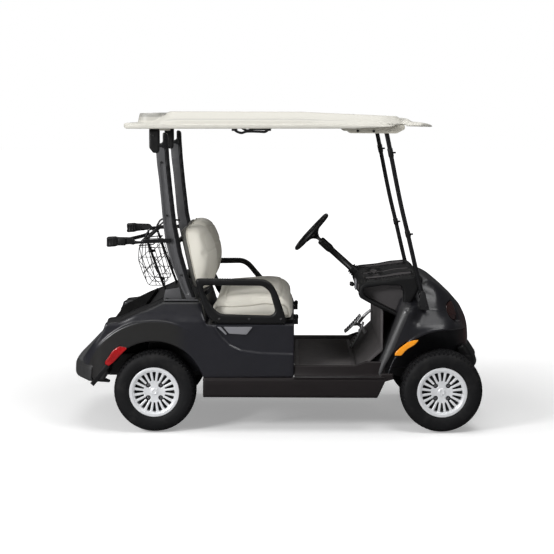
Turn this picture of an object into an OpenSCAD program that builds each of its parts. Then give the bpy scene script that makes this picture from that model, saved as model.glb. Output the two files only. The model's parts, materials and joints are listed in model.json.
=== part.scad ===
// Two-seat golf cart with a hard top, bag rack and wire basket.
// X points forward, Y to the left, Z up. The origin lies on the ground below the middle.

/* [Overall] */
// Distance between the front and rear axles
wheelbase = 1640; // [1500:10:2000]
// Overall width of the body over the fenders
body_width = 1190; // [1100:10:1430]
// Height of the roof's crown above the ground
overall_height = 1828; // [1700:1:2200]

/* [Wheels] */
// Outer radius of a tyre
tyre_r = 236; // [200:1:284]
// Section width of a tyre
tyre_width = 204; // [170:2:220]
// Radius of the rim's bead seat
bead_r = 127; // [105:1:150]
// Radius of the rim's outer flange
flange_r = 143; // [130:1:165]
// Gap between the tyre's outer side and the body's outer side
wheel_inset = 4; // [0:1:40]
// Number of slots round a wheel disc
rim_slots = 20; // [8:1:30]
// Radius of the circle of wheel studs
stud_circle_r = 50.8; // [45:0.1:60]

/* [Steering] */
// Distance from the kingpin inwards from the tyre's middle plane
kingpin_offset = 110; // [100:1:140]
// Radius of a kingpin
kingpin_r = 10; // [8:1:14]
// Length of a steering arm to the rear
arm_back = 110; // [90:1:130]
// Distance that a steering arm runs inwards
arm_in = 40; // [30:1:50]
// Outer radius of the steering wheel
steering_wheel_r = 150; // [120:1:180]
// Radius of the steering wheel's grip
grip_r = 13; // [10:1:18]
// Distance of the steering column from the middle of the cart
column_y = 280; // [220:5:340]
// Slope of the steering column from level
column_slope = 42; // [30:1:60]

/* [Frame] */
// Distance of each side rail from the middle
rail_y = 200; // [170:5:215]
// Width of a side rail
rail_w = 50; // [30:1:60]
// Height of a side rail
rail_h = 50; // [40:1:60]
// Gap between the axles' level and the underside of the rails
rail_rise = 36; // [30:1:60]

/* [Floor] */
// Level of the floor pan's top at the standard ride height
floor_z = 362; // [340:1:400]
// Thickness of the floor pan
floor_t = 12; // [6:1:20]
// Thickness of the floor mat
mat_t = 8; // [5:1:15]
// Level of the ledge on top of a sill at the standard ride height
sill_z = 320; // [300:1:335]

/* [Body] */
// Thickness of the moulded body panels
wall = 8; // [4:1:12]
// Gap between a rear tyre and its arch
rear_arch_gap = 56; // [49:1:80]
// Gap between a front tyre and its arch, which leaves room to steer
front_arch_gap = 114; // [105:1:130]
// Distance from the rear axle to the front of the seat box
body_front = 797; // [700:1:850]
// Level of the deck under the seat at the standard ride height
deck_z = 624; // [600:1:640]
// Level of the ledge behind the seat at the standard ride height
ledge_z = 754; // [730:1:780]

/* [Seat] */
// Width of the seat bench
bench_width = 1036; // [900:2:1060]
// Thickness of the seat cushion
cushion_h = 128; // [90:1:150]
// Thickness of the board under the cushion
seat_board_t = 14; // [10:1:20]
// Width of one backrest
back_width = 492; // [400:2:500]
// Radius of a seat hinge pin
hinge_pin_r = 6; // [4:0.5:8]

/* [Roof] */
// Distance that the roof reaches behind the rear axle
roof_rear_reach = 175; // [120:1:220]
// Distance from the roof's front end back to the front axle
roof_front_setback = 39; // [0:1:80]
// Distance of the roof's sides inwards from the body's
roof_inset = 5; // [0:1:40]
// Height of the roof from rim to crown
roof_depth = 100; // [80:1:130]
// Depth of the hollow under the roof
roof_hollow = 22; // [10:1:30]
// Width of the roof's rim round that hollow
roof_lip = 42; // [30:1:60]
// Radius of a front strut's tube
front_strut_r = 14; // [10:1:18]
// Distance of the struts inwards from the body's sides
strut_inset = 103; // [98:1:125]

/* [Bag rack] */
// Distance of the outer bag arms inwards from the body's sides
bag_arm_inset = 90; // [65:1:115]
// Radius of the rack's tubes
rack_tube_r = 9; // [6:1:14]
// Half width of the basket
basket_half = 300; // [200:5:320]
// Thickness of the basket's wires
basket_wall = 5; // [3:1:8]

/* [Fits] */
// Running clearance round a pin or shaft
pin_gap = 0.3; // [0.1:0.05:0.5]

/* [Hidden] */
$fn = 48;

middle_shift = 117;
rear_x = middle_shift - wheelbase / 2;
front_x = middle_shift + wheelbase / 2;
half_w = body_width / 2;
axle_z = tyre_r;
wheel_y = half_w - wheel_inset - tyre_width / 2;
kingpin_y = wheel_y - kingpin_offset;
rail_z0 = axle_z + rail_rise;
rail_z1 = rail_z0 + rail_h;
box_front_x = rear_x + body_front;
strut_y = half_w - strut_inset;
bag_arm_y = half_w - bag_arm_inset;
rear_arch_r = tyre_r + rear_arch_gap;
front_arch_r = tyre_r + front_arch_gap;

// The body is drawn for a frame whose top lies at this level, and then raised to the real one
frame_z = 322;
body_lift = rail_z1 - frame_z;
wheel_z = axle_z - body_lift;
roof_rim_z = overall_height - roof_depth - body_lift;
crown_z = roof_rim_z + roof_depth;
seat_z = deck_z + 4 + seat_board_t;
cushion_top = seat_z + cushion_h;
hinge_x = box_front_x + 14;
hinge_z = deck_z + 10;
bead_half = tyre_width / 2 - 17;
spindle_r = 15;
hub_r = 40;
eps = 0.01;

// ---- helpers ----

// Move a list of [x, z] points by dx along X
function shifted(points, dx) = [for (p = points) [p[0] + dx, p[1]]];

function unit(v) = v / norm(v);

// Shrink a counter-clockwise outline by d
function inset(p, d) = [
    for (i = [0 : len(p) - 1])
        let (
            n = len(p),
            e = unit(p[i] - p[(i + n - 1) % n]),
            f = unit(p[(i + 1) % n] - p[i]),
            a = [-e[1], e[0]],
            b = [-f[1], f[0]]
        )
        p[i] + d * (a + b) / (1 + a * b)
];

// Round each corner of an outline with a curve that starts at most r from it
function rounded(p, r, steps = 5) = [
    for (i = [0 : len(p) - 1])
        let (
            n = len(p),
            before = p[(i + n - 1) % n],
            after = p[(i + 1) % n],
            ra = min(r, norm(p[i] - before) * 0.45),
            rb = min(r, norm(p[i] - after) * 0.45),
            s = p[i] + ra * unit(before - p[i]),
            e = p[i] + rb * unit(after - p[i])
        )
        for (k = [0 : steps])
            let (t = k / steps)
            (1 - t) * (1 - t) * s + 2 * t * (1 - t) * p[i] + t * t * e
];

// Extrude a side outline in X and Z from y0 to y1
module side_solid(p, y0, y1) {
    translate([0, y1, 0]) rotate([90, 0, 0]) linear_extrude(y1 - y0) polygon(p);
}

// Extrude a plan outline in X and Y from z0 to z1
module plan_solid(p, z0, z1) {
    translate([0, 0, z0]) linear_extrude(z1 - z0) polygon(p);
}

// Extrude an outline in Y and Z from x0 to x1
module front_solid(p, x0, x1) {
    translate([x0, 0, 0]) rotate([90, 0, 90]) linear_extrude(x1 - x0) polygon(p);
}

// Lift a piece of the body from the level it is drawn at
module raised() {
    translate([0, 0, body_lift]) children();
}

module both_sides() {
    children();
    mirror([0, 1, 0]) children();
}

// Box from one corner to the other
module block(a, b) {
    translate(a) cube(b - a);
}

// Round bar from a to b
module rod(a, b, r) {
    d = b - a;
    translate(a)
        rotate([0, acos(d[2] / norm(d)), atan2(d[1], d[0])])
            cylinder(h = norm(d), r = r);
}

// Tube of radius r swept along points that lie in a plane of constant Y
module bent_rod(points, r, sides = 20) {
    n = len(points);
    function tangent(i) = unit(points[min(i + 1, n - 1)] - points[max(i - 1, 0)]);
    rings = [
        for (i = [0 : n - 1], k = [0 : sides - 1])
            let (t = tangent(i), side = cross(t, [0, 1, 0]), a = 360 * k / sides)
            points[i] + r * (cos(a) * side + sin(a) * [0, 1, 0])
    ];
    walls = [
        for (i = [0 : n - 2], k = [0 : sides - 1])
            let (m = (k + 1) % sides, a = i * sides, b = a + sides)
            [a + k, a + m, b + m, b + k]
    ];
    caps = [[for (k = [sides - 1 : -1 : 0]) k], [for (k = [0 : sides - 1]) (n - 1) * sides + k]];
    polyhedron(rings, concat(walls, caps));
}

// Cylinder along Y from y0 to y1
module cross_cylinder(x, z, y0, y1, r) {
    translate([x, y1, z]) rotate([90, 0, 0]) cylinder(h = y1 - y0, r = r);
}

// ---- frame and floor ----

module frame_rails() {
    color("#202022")
        both_sides()
            side_solid(
                [[rear_x - 330, rail_z0], [front_x + 150, rail_z0],
                 [front_x + 150, rail_z1], [rear_x - 330, rail_z1]],
                rail_y - rail_w / 2, rail_y + rail_w / 2);
}

cross_places = [
    rear_x - 300, rear_x + 420, box_front_x - 60,
    box_front_x + 300, front_x - 250, front_x + 120
];
tow_bore_r = 10;
tow_plate_t = 12;
tow_x = rear_x - 400;

module frame_crossmembers() {
    inner = rail_y - rail_w / 2;
    outrigger = half_w - 40;
    color("#202022") {
        for (x = cross_places)
            block([x - 20, -inner, rail_z0 + 5], [x + 20, inner, rail_z1 - 5]);
        // Outriggers that carry the sills
        both_sides()
            for (x = [box_front_x - 60, box_front_x + 300])
                block([x - 20, rail_y + rail_w / 2, rail_z0 + 5],
                      [x + 20, outrigger, rail_z0 + 35]);
        // Tow plate with its pin hole
        difference() {
            block([tow_x - 30, -40, rail_z0 + 5],
                  [rear_x - 320, 40, rail_z0 + 5 + tow_plate_t]);
            translate([tow_x, 0, rail_z0])
                cylinder(h = 40, r = tow_bore_r);
        }
    }
}

toe_x = front_x - 480;
firewall_x = front_x - 338;
pan_edge_z = floor_z + 26;
pan_inset = 40;
kerb_w = 22;
dash_z0 = 700;

module floor_pan() {
    low = floor_z - floor_t;
    edge = half_w - pan_inset;
    color("#2d2b2c") raised() {
        side_solid(
            [[box_front_x + 1, low], [toe_x, low], [firewall_x - 8, 480 - floor_t],
             [firewall_x, 480], [firewall_x, dash_z0], [firewall_x - floor_t, dash_z0],
             [firewall_x - floor_t, 488], [toe_x, floor_z], [box_front_x + 1, floor_z]],
            -edge, edge);
        // Raised kerbs along both sides
        both_sides()
            side_solid(
                [[box_front_x + 1, low], [toe_x, low], [toe_x + 20, pan_edge_z],
                 [box_front_x + 1, pan_edge_z]],
                edge - kerb_w, edge);
        // Packers between the frame and the pan
        both_sides()
            block([box_front_x + 40, rail_y - 20, frame_z], [toe_x - 20, rail_y + 20, low]);
    }
}

module floor_mat() {
    edge = half_w - pan_inset - kerb_w - 2;
    color("#333132") raised() {
        side_solid(
            [[box_front_x + 6, floor_z], [toe_x - 6, floor_z], [toe_x - 9, floor_z + mat_t],
             [box_front_x + 6, floor_z + mat_t]], -edge, edge);
    }
}

module sills() {
    back = rear_x + rear_arch_r - 14;
    front = front_x - front_arch_r;
    p = [[back, 204], [front - 19, 202], [front + 23, 302], [front + 86, 314],
         [front + 84, sill_z], [back, sill_z]];
    color("#231f20") raised()
        both_sides() side_solid(rounded(p, 10), half_w - pan_inset, half_w - 2);
}

// ---- rear body ----

rear_outline = shifted([
    [-470, 302], [-290, 302], [240, sill_z + 1], [body_front, frame_z + 2], [body_front, deck_z],
    [262, deck_z], [244, ledge_z], [25, ledge_z], [-30, 738], [-145, 676],
    [-205, 646], [-276, 612], [-300, 575], [-350, 510], [-425, 412], [-488, 350]
], rear_x);

rear_plan = [
    [box_front_x + 50, -half_w], [box_front_x + 50, half_w], [rear_x - 290, half_w],
    [rear_x - 400, half_w - 90], [rear_x - 465, half_w - 260], [rear_x - 494, half_w - 480],
    [rear_x - 494, -half_w + 480], [rear_x - 465, -half_w + 260],
    [rear_x - 400, -half_w + 90], [rear_x - 290, -half_w]
];

rear_section = [
    [-half_w, 250], [half_w, 250], [half_w, 600], [half_w - 20, 655],
    [half_w - 55, ledge_z + 40], [-half_w + 55, ledge_z + 40],
    [-half_w + 20, 655], [-half_w, 600]
];

well_x0 = rear_x - 440;
well_x1 = rear_x - 60;
well_half = wheel_y - tyre_width / 2 - 20;
well_floor_z = 440;

// Solid inside the given inset of the rear body's three outlines
module rear_form(d) {
    intersection() {
        side_solid(rounded(inset(rear_outline, d), 16), -half_w, half_w);
        plan_solid(rounded(inset(rear_plan, d), 90), 0, 1000);
        front_solid(rounded(inset(rear_section, d), 30), rear_x - 600, box_front_x + 60);
    }
}

module rear_body() {
    color("#26262b") raised()
        difference() {
            rear_form(0);
            rear_form(wall);
            // Open underside
            block([rear_x - 600, -half_w + wall, 200], [box_front_x - wall, half_w - wall, 330]);
            // Wheel arches
            both_sides()
                cross_cylinder(rear_x, wheel_z, wheel_y - tyre_width / 2 - 20, half_w + 20,
                               rear_arch_r);
            // Mouth of the bag well
            block([well_x0, -well_half, 400], [well_x1, well_half, 1000]);
        }
}

module bag_well() {
    t = 6;
    g = 1;
    x0 = well_x0 + g;
    x1 = well_x1 - g;
    y = well_half - g;
    color("#1c1c1e") raised()
        intersection() {
            difference() {
                block([x0, -y, well_floor_z - t], [x1, y, 900]);
                block([x0 + t, -y + t, well_floor_z], [x1 - t, y - t, 901]);
            }
            rear_form(0);
        }
    // Legs from the tray down to the frame
    color("#1c1c1e") raised()
        both_sides()
            block([rear_x - 280, rail_y - 15, frame_z],
                  [rear_x - 240, rail_y + 15, well_floor_z - t]);
}

module rear_bumper() {
    color("#3a3a3c") raised()
        intersection() {
            difference() {
                plan_solid(rounded(shifted(rear_plan, -9), 90), 292, 372);
                plan_solid(rounded(shifted(rear_plan, -1), 90), 280, 380);
            }
            block([rear_x - 620, -half_w, 0], [rear_x - 300, half_w, 500]);
        }
    // Stays from the frame to the bumper
    color("#3a3a3c") raised()
        both_sides()
            block([rear_x - 496, rail_y - 15, 296], [rear_x - 330, rail_y + 15, frame_z - 4]);
}

module tail_lights() {
    p = shifted([[-277, 400], [-256, 388], [-207, 432], [-149, 490], [-194, 500],
                 [-235, 474], [-264, 430]], rear_x);
    color("#d4141c") raised()
        both_sides() side_solid(rounded(p, 12), half_w + eps, half_w + 5);
}

// ---- seat ----

cushion_back = rear_x + 318;
cushion_front = box_front_x + 4;

module seat_cushion() {
    p = [[cushion_back, seat_z], [cushion_front, seat_z], [cushion_front + 2, seat_z + 60],
         [cushion_front - 40, cushion_top], [cushion_front - 180, cushion_top + 4],
         [cushion_back, cushion_top - 16]];
    color("#e3dfd0") raised()
        side_solid(rounded(p, 38), -bench_width / 2, bench_width / 2);
}

module seat_board() {
    edge = bench_width / 2 - 20;
    color("#2a2a2a") raised() {
        block([cushion_back + 10, -edge, seat_z - seat_board_t],
              [cushion_front - 8, edge, seat_z]);
        // Hinge leaves with their pins
        both_sides() {
            block([cushion_front - 60, 300, seat_z - seat_board_t - eps],
                  [hinge_x + 5, 330, seat_z - 2]);
            block([hinge_x - 5, 300, hinge_z - 5], [hinge_x + 5, 330, seat_z - 2]);
            cross_cylinder(hinge_x, hinge_z, 290, 345, hinge_pin_r);
        }
    }
}

module seat_hinges() {
    color("#1a1a1a") raised()
        both_sides()
            for (y = [284, 334])
                difference() {
                    union() {
                        block([box_front_x, y, hinge_z - 40], [hinge_x + 10, y + 12, hinge_z]);
                        cross_cylinder(hinge_x, hinge_z, y, y + 12, hinge_pin_r + 6);
                    }
                    cross_cylinder(hinge_x, hinge_z, y - 5, y + 20, hinge_pin_r + pin_gap);
                }
}

back_outline = shifted([
    [262, 812], [304, 818], [330, 858], [345, 930], [345, 978], [328, 1060],
    [292, 1142], [240, 1170], [186, 1164], [168, 1144], [179, 1100], [222, 900], [242, 830]
], rear_x);

module seat_backs() {
    color("#e3dfd0") raised()
        both_sides()
            side_solid(rounded(back_outline, 30), 12, 12 + back_width);
}

module seat_back_shells() {
    // A moulded shell behind each backrest
    p = shifted([[218, 836], [240, 836], [221.7, 900], [178.7, 1100], [167.7, 1144],
                 [151, 1138], [158, 1090], [206, 890]], rear_x);
    color("#1b1b1d") raised()
        both_sides() side_solid(rounded(p, 5), 18, 6 + back_width);
}

module seat_back_frame() {
    color("#1b1b1d") raised() {
        // Upper and lower rails between the struts
        for (p = [[rear_x + 140, 1090], [rear_x + 186, 880]])
            cross_cylinder(p[0], p[1], -strut_y + 18.2, strut_y - 18.2, 12);
        // Arms from the rails to the shells
        both_sides()
            for (y = [120, 380]) {
                block([rear_x + 138, y - 15, 1080], [rear_x + 156.3, y + 15, 1100]);
                block([rear_x + 192, y - 15, 870], [rear_x + 205.7, y + 15, 890]);
            }
    }
}

arm_outline = [
    [-41, deck_z + 0.3], [-105, 824], [-139, 872], [-177, 889], [-487, 889],
    [-545, 884], [-535, 800], [-499, 690], [-463, deck_z + 0.3]
];
arm_hole = [[-129, 690], [-149, 820], [-177, 838], [-463, 838], [-479, 790], [-447, 694]];
// The left armrest slopes down sooner at the front
left_arm_outline = [
    [-60, deck_z + 0.3], [-205, 776], [-282, 868], [-324, 889], [-487, 889],
    [-545, 884], [-535, 800], [-499, 690], [-463, deck_z + 0.3]
];
left_arm_hole = [[-168, 690], [-250, 776], [-316, 842], [-463, 842], [-479, 790], [-447, 694]];

module armrest(outline, opening) {
    difference() {
        side_solid(rounded(shifted(outline, box_front_x), 26), half_w - 50, half_w - 18);
        side_solid(rounded(shifted(opening, box_front_x), 18), half_w - 60, half_w);
    }
}

module left_armrest() {
    color("#151516") raised() armrest(left_arm_outline, left_arm_hole);
}

module right_armrest() {
    color("#151516") raised() mirror([0, 1, 0]) armrest(arm_outline, arm_hole);
}

// ---- struts, roof and bag rack ----

roof_x0 = rear_x - roof_rear_reach;
roof_x1 = front_x - roof_front_setback;
roof_half = half_w - roof_inset;

module rear_struts() {
    top_z = roof_rim_z - 10;
    p = shifted([
        [184, ledge_z], [240, ledge_z], [182, 945], [139, 1112], [122, 1196], [88, 1525],
        [80, top_z], [34, top_z], [34, 1600], [21, 1535], [31, 1441], [53, 1184], [68, 1080], [113, 930]
    ], rear_x);
    color("#2c2d2f") raised()
        both_sides()
            difference() {
                side_solid(rounded(p, 14), strut_y - 18, strut_y + 18);
                // Channel open to the inside
                side_solid(rounded(inset(p, 7), 8), strut_y - 20, strut_y + 11);
            }
}

front_strut_path = [[-317, 0], [-243, 1326], [-196, 1127], [-148, 926], [-108, 776]];

module front_struts() {
    color("#3c3c3e") raised()
        both_sides() {
            bent_rod([
                for (i = [0 : 4])
                    [front_x + front_strut_path[i][0], strut_y - 8,
                     i == 0 ? roof_rim_z - 29.3 : front_strut_path[i][1]]
            ], front_strut_r);
            // Foot that sits on the wing
            difference() {
                block([front_x - 126, strut_y - 8 - front_strut_r, 700],
                      [front_x - 78, strut_y - 8 + front_strut_r, 792]);
                cowl_form(0);
            }
        }
}

module roof() {
    z0 = roof_rim_z;
    z1 = crown_z;
    side = rounded([
        [roof_x0, z0 + 22], [roof_x0 + 10, z0], [roof_x1 - 10, z0], [roof_x1, z0 + 12],
        [roof_x1 - 100, z0 + 56], [roof_x1 - 190, z0 + 70], [roof_x1 - 760, z1 - 2],
        [roof_x0 + 260, z1], [roof_x0 + 90, z0 + 60]
    ], 40);
    section = rounded([
        [-roof_half, z0], [roof_half, z0], [roof_half, z0 + 30], [roof_half - 70, z0 + 74],
        [roof_half - 260, z1], [-roof_half + 260, z1], [-roof_half + 70, z0 + 74],
        [-roof_half, z0 + 30]
    ], 60);
    plan = rounded([
        [roof_x0, -roof_half + 60], [roof_x0 + 70, -roof_half], [roof_x1 - 120, -roof_half],
        [roof_x1, -roof_half + 110], [roof_x1, roof_half - 110],
        [roof_x1 - 120, roof_half], [roof_x0 + 70, roof_half], [roof_x0, roof_half - 60]
    ], 60);
    color("#e6e3d8") raised()
        difference() {
            intersection() {
                side_solid(side, -roof_half, roof_half);
                front_solid(section, roof_x0 - 10, roof_x1 + 10);
                plan_solid(plan, z0 - 10, z1 + 10);
            }
            // Shallow hollow under the roof
            plan_solid(inset([
                [roof_x0, -roof_half + 60], [roof_x0 + 70, -roof_half],
                [roof_x1 - 120, -roof_half], [roof_x1, -roof_half + 110],
                [roof_x1, roof_half - 110], [roof_x1 - 120, roof_half],
                [roof_x0 + 70, roof_half], [roof_x0, roof_half - 60]
            ], roof_lip), z0 - 20, z0 + roof_hollow);
        }
}

bracket_hole_r = 5;
bracket_t = 10;
bracket_y = strut_y + 20;
bracket_holes = [-487, -397];

module roof_brackets() {
    front = shifted([[-532, -24], [-268, -26], [-222, -2], [-222, roof_hollow],
                     [-560, roof_hollow], [-560, -2]], front_x);
    color("#c9c4b4") raised()
        both_sides() {
            difference() {
                translate([0, 0, roof_rim_z])
                    side_solid(rounded(front, 8), bracket_y - bracket_t, bracket_y);
                for (x = bracket_holes)
                    cross_cylinder(front_x + x, roof_rim_z - 12, bracket_y - 20, bracket_y + 10,
                                   bracket_hole_r);
            }
            // Foot that carries the front strut's top
            block([front_x - 345, strut_y - 26, roof_rim_z - 26],
                  [front_x - 290, bracket_y - bracket_t, roof_rim_z + roof_hollow]);
        }
    // Rear brackets on top of the rear struts
    color("#c9c4b4") raised()
        both_sides() {
            block([rear_x - 20, strut_y - 18, roof_rim_z - 10],
                  [rear_x + 96, strut_y + 18, roof_rim_z + roof_hollow]);
        }
}

module roof_handles() {
    z = roof_rim_z;
    x0 = rear_x + 477;
    color("#151516") raised()
        both_sides()
            bent_rod([[x0, roof_half - 22, z - 1], [x0 + 6, roof_half - 22, z - 14],
                      [x0 + 142, roof_half - 22, z - 14], [x0 + 148, roof_half - 22, z - 1]], 6);
}

rack_z = 1092;
post_r = 7;

module bag_rack() {
    y1 = bag_arm_y;
    color("#1a1a1c") raised() {
        // Cross tube and side rails
        cross_cylinder(rear_x - 62, rack_z, -y1 - 12, y1 + 12, rack_tube_r + 3);
        both_sides() {
            block([rear_x - 62, strut_y + 18, rack_z - 10], [rear_x + 110, strut_y + 26, rack_z + 10]);
            // Bag arms
            side_solid(rounded(shifted([
                [-262, rack_z - 32], [-132, rack_z - 24], [-50, rack_z - 22],
                [-50, rack_z + 16], [-110, rack_z + 16], [-140, rack_z + 28], [-266, rack_z + 22]
            ], rear_x), 8), y1 - 22, y1 + 18);
        }
    }
}

module basket_posts() {
    // Posts from the cross tube down to the ledge
    color("#1a1a1c") raised()
        both_sides()
            difference() {
                rod([rear_x - 57, basket_half + 30, rack_z - 6],
                    [rear_x + 62, basket_half + 30, ledge_z + 2.8], post_r);
                cross_cylinder(rear_x - 62, rack_z, basket_half, basket_half + 60,
                               rack_tube_r + 3);
            }
}

basket_outline = rounded(shifted([
    [-66, 796], [36, 796], [-36, 1036], [-118, 1028], [-124, 944], [-96, 862]
], rear_x), 14);

module basket() {
    color("#1a1a1c") raised()
        difference() {
            side_solid(basket_outline, -basket_half, basket_half);
            side_solid(inset(basket_outline, basket_wall), -basket_half + basket_wall,
                       basket_half - basket_wall);
            block([rear_x - 200, -basket_half + basket_wall, 1015],
                  [rear_x + 60, basket_half - basket_wall, 1100]);
        }
    // Lugs that hold the basket to its posts
    color("#1a1a1c") raised()
        both_sides()
            for (p = [[-26, 1000], [33, 836]])
                block([rear_x + p[0] - 22, basket_half - eps, p[1] - 8],
                      [rear_x + p[0], basket_half + 30 - post_r - pin_gap, p[1] + 8]);
}

// ---- front body and dashboard ----

cowl_outline = shifted([
    [-376, sill_z + 0.3], [-350, sill_z + 0.3], [-120, sill_z + 0.3], [150, 372], [188, 410], [206, 470],
    [202, 540], [178, 620], [140, 696], [60, 772], [-22, 836], [-98, 872],
    [-120, 868], [-226, 735], [-352, 375]
], front_x);

cowl_plan = [
    [front_x - 420, -half_w], [front_x + 10, -half_w], [front_x + 66, -half_w + 70],
    [front_x + 130, -half_w + 200], [front_x + 196, -half_w + 390],
    [front_x + 208, -80], [front_x + 208, 80], [front_x + 196, half_w - 390],
    [front_x + 130, half_w - 200], [front_x + 66, half_w - 70], [front_x + 10, half_w],
    [front_x - 420, half_w]
];

cowl_section = [
    [-half_w, 250], [half_w, 250], [half_w, 690], [half_w - 30, 722],
    [half_w - 110, 748], [half_w - 190, 850], [half_w - 330, 880],
    [-half_w + 330, 880], [-half_w + 190, 850], [-half_w + 110, 748],
    [-half_w + 30, 722], [-half_w, 690]
];

// The opening in the outer skin lies a little higher than the space inside
arch_dx = 20;
arch_dz = 32;
skin_arch_r = front_arch_r - 28;

module cowl_form(d) {
    intersection() {
        side_solid(rounded(inset(cowl_outline, d), 16), -half_w, half_w);
        plan_solid(rounded(inset(cowl_plan, d), 60), 0, 1000);
        front_solid(rounded(inset(cowl_section, d), 40), front_x - 600, front_x + 400);
    }
}

module front_cowl() {
    inner = kingpin_y - 124;
    color("#232226") raised()
        difference() {
            cowl_form(0);
            cowl_form(wall);
            both_sides() lens_block(0);
            // Open underside and open back towards the footwell
            block([front_x - 500, -inner, 200], [front_x + 140, inner, 385]);
            block([firewall_x - 60, -half_w + wall, 250], [front_x - 180, half_w - wall, 700]);
            block([front_x - 260, -half_w + 120, 600], [front_x - 110, half_w - 120, 900]);
            // Wheel arches with room to steer
            both_sides() {
                cross_cylinder(front_x - 12, wheel_z, inner, half_w - wall - 1, front_arch_r);
                cross_cylinder(front_x + arch_dx, wheel_z + arch_dz, inner, half_w + 20,
                               skin_arch_r);
            }
        }
}

module front_bumper() {
    inner = kingpin_y - 130;
    p = shifted([[190, 330], [252, 328], [260, 345], [250, 385], [208, 452], [206, 420]], front_x);
    color("#1a1a1c") raised() {
        side_solid(rounded(p, 8), -inner, inner);
        both_sides()
            block([front_x + 150, rail_y - 20, frame_z - rail_h + 60 - 34],
                  [front_x + 200, rail_y + 20, frame_z + 20]);
    }
}

lens_outline = [[20, 705], [40, 600], [110, 575], [190, 590], [190, 720], [60, 720]];

// Block that a headlight takes out of the cowl, with a small margin g
module lens_block(g) {
    side_solid(inset(shifted(lens_outline, front_x), g), half_w - 260 + g, half_w - 110 - g);
}

module headlights() {
    color("#2a2022") raised()
        intersection() {
            both_sides() lens_block(0.3);
            difference() {
                cowl_form(0);
                cowl_form(wall + 6);
            }
        }
}

module marker_lights() {
    // A band along the back of the arch, widest in the middle
    steps = 12;
    a0 = 119;
    a1 = 148;
    function spot(r, a) = [front_x + arch_dx + r * cos(a), wheel_z + arch_dz + r * sin(a)];
    inner = [for (i = [0 : steps]) spot(skin_arch_r + 3, a1 + (a0 - a1) * i / steps)];
    outer = [for (i = [0 : steps])
        let (t = i / steps) spot(skin_arch_r + 12 + 16 * sin(180 * t), a0 + (a1 - a0) * t)];
    color("#f2a31d") raised()
        both_sides() side_solid(concat(inner, outer), half_w + eps, half_w + 5);
}

pocket_y0 = -440;
pocket_y1 = -200;

module dashboard() {
    edge = half_w - 130;
    p = shifted([[-482, dash_z0], [-338, dash_z0], [-250, 736], [-128, 858], [-190, 876],
                 [-440, 842], [-472, 826]], front_x);
    color("#191919") raised()
        difference() {
            side_solid(rounded(p, 10), -edge, edge);
            // Glove pocket, open to the seat
            block([front_x - 600, pocket_y0, 716], [front_x - 270, pocket_y1, 812]);
            // Cup holders
            both_sides()
                for (y = [70, 150])
                    translate([front_x - 360, y, 780]) cylinder(h = 200, r = 36);
            // Way for the steering column
            translate([front_x, column_y, 0])
                column_bar(60, 700, column_r + pin_gap);
        }
}

// ---- controls ----

wheel_hub = [front_x - 735, column_y, 1082];
column_r = 18;

// Bar along the steering column's axis, from distance a to b below the wheel
module column_bar(a, b, r) {
    translate([-735, 0, 1082])
        rotate([0, 90 + column_slope, 0])
            translate([0, 0, a]) cylinder(h = b - a, r = r);
}

module steering_column() {
    color("#161617") raised()
        translate([front_x, column_y, 0])
            difference() {
                column_bar(70, 520, column_r);
                column_bar(60, 150, 9 + pin_gap);
            }
}

module steering_wheel() {
    color("#131314") raised()
        translate(wheel_hub)
            rotate([0, 90 + column_slope, 0]) {
                rotate_extrude()
                    translate([steering_wheel_r - grip_r, 0]) circle(r = grip_r);
                cylinder(h = 36, r = 34);
                translate([0, 0, 30]) cylinder(h = 110, r = 9);
                for (a = [0, 120, 240])
                    rotate([0, 0, a + 90])
                        hull() {
                            translate([20, 0, 22]) cube([10, 30, 10], center = true);
                            translate([steering_wheel_r - grip_r, 0, 0])
                                cube([6, 24, 8], center = true);
                        }
            }
}

module pedals() {
    t = 8;
    brake_pad = [[-180, 447], [-82, 553], [-86, 559], [-186, 453]];
    accelerator_pad = [[-151, floor_z + mat_t + 0.3], [-139, floor_z + mat_t + 0.3],
                       [-62, 524], [-70, 530]];
    // The brake's arm stands square to the toe board
    brake_centre = [firewall_x - 131, 503];
    board_dir = unit([firewall_x - floor_t - toe_x, 488 - floor_z]);
    board_normal = [-board_dir[1], board_dir[0]];
    reach = (brake_centre - [toe_x, floor_z]) * board_normal - 0.3;
    foot = brake_centre - reach * board_normal;
    color("#6b6c6e") raised() {
        side_solid(shifted(brake_pad, firewall_x), 250, 340);
        rod([brake_centre[0], 295, brake_centre[1]], [foot[0], 295, foot[1]], t);
        side_solid(shifted(accelerator_pad, firewall_x), 174, 228);
    }
}

// ---- running gear ----

fork_t = 12;
fork_gap = 1;
knuckle_h = 34;

module front_axle_beam() {
    z = axle_z;
    color("#2b2b2d") {
        difference() {
            union() {
                block([front_x - 22, -kingpin_y + 50, z - 18], [front_x + 22, kingpin_y - 50, z + 18]);
                both_sides()
                    difference() {
                        block([front_x - 22, kingpin_y - 50, z - knuckle_h - fork_gap - fork_t],
                              [front_x + 22, kingpin_y + 18, z + knuckle_h + fork_gap + fork_t]);
                        block([front_x - 30, kingpin_y - 30, z - knuckle_h - fork_gap],
                              [front_x + 30, kingpin_y + 30, z + knuckle_h + fork_gap]);
                        // Way for the steering arm
                        block([front_x - 30, kingpin_y - 60, z - knuckle_h - fork_gap],
                              [front_x - 6, kingpin_y, z + knuckle_h + fork_gap]);
                    }
            }
            both_sides()
                translate([front_x, kingpin_y, z - 100])
                    cylinder(h = 200, r = kingpin_r + pin_gap);
        }
    }
}

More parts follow.
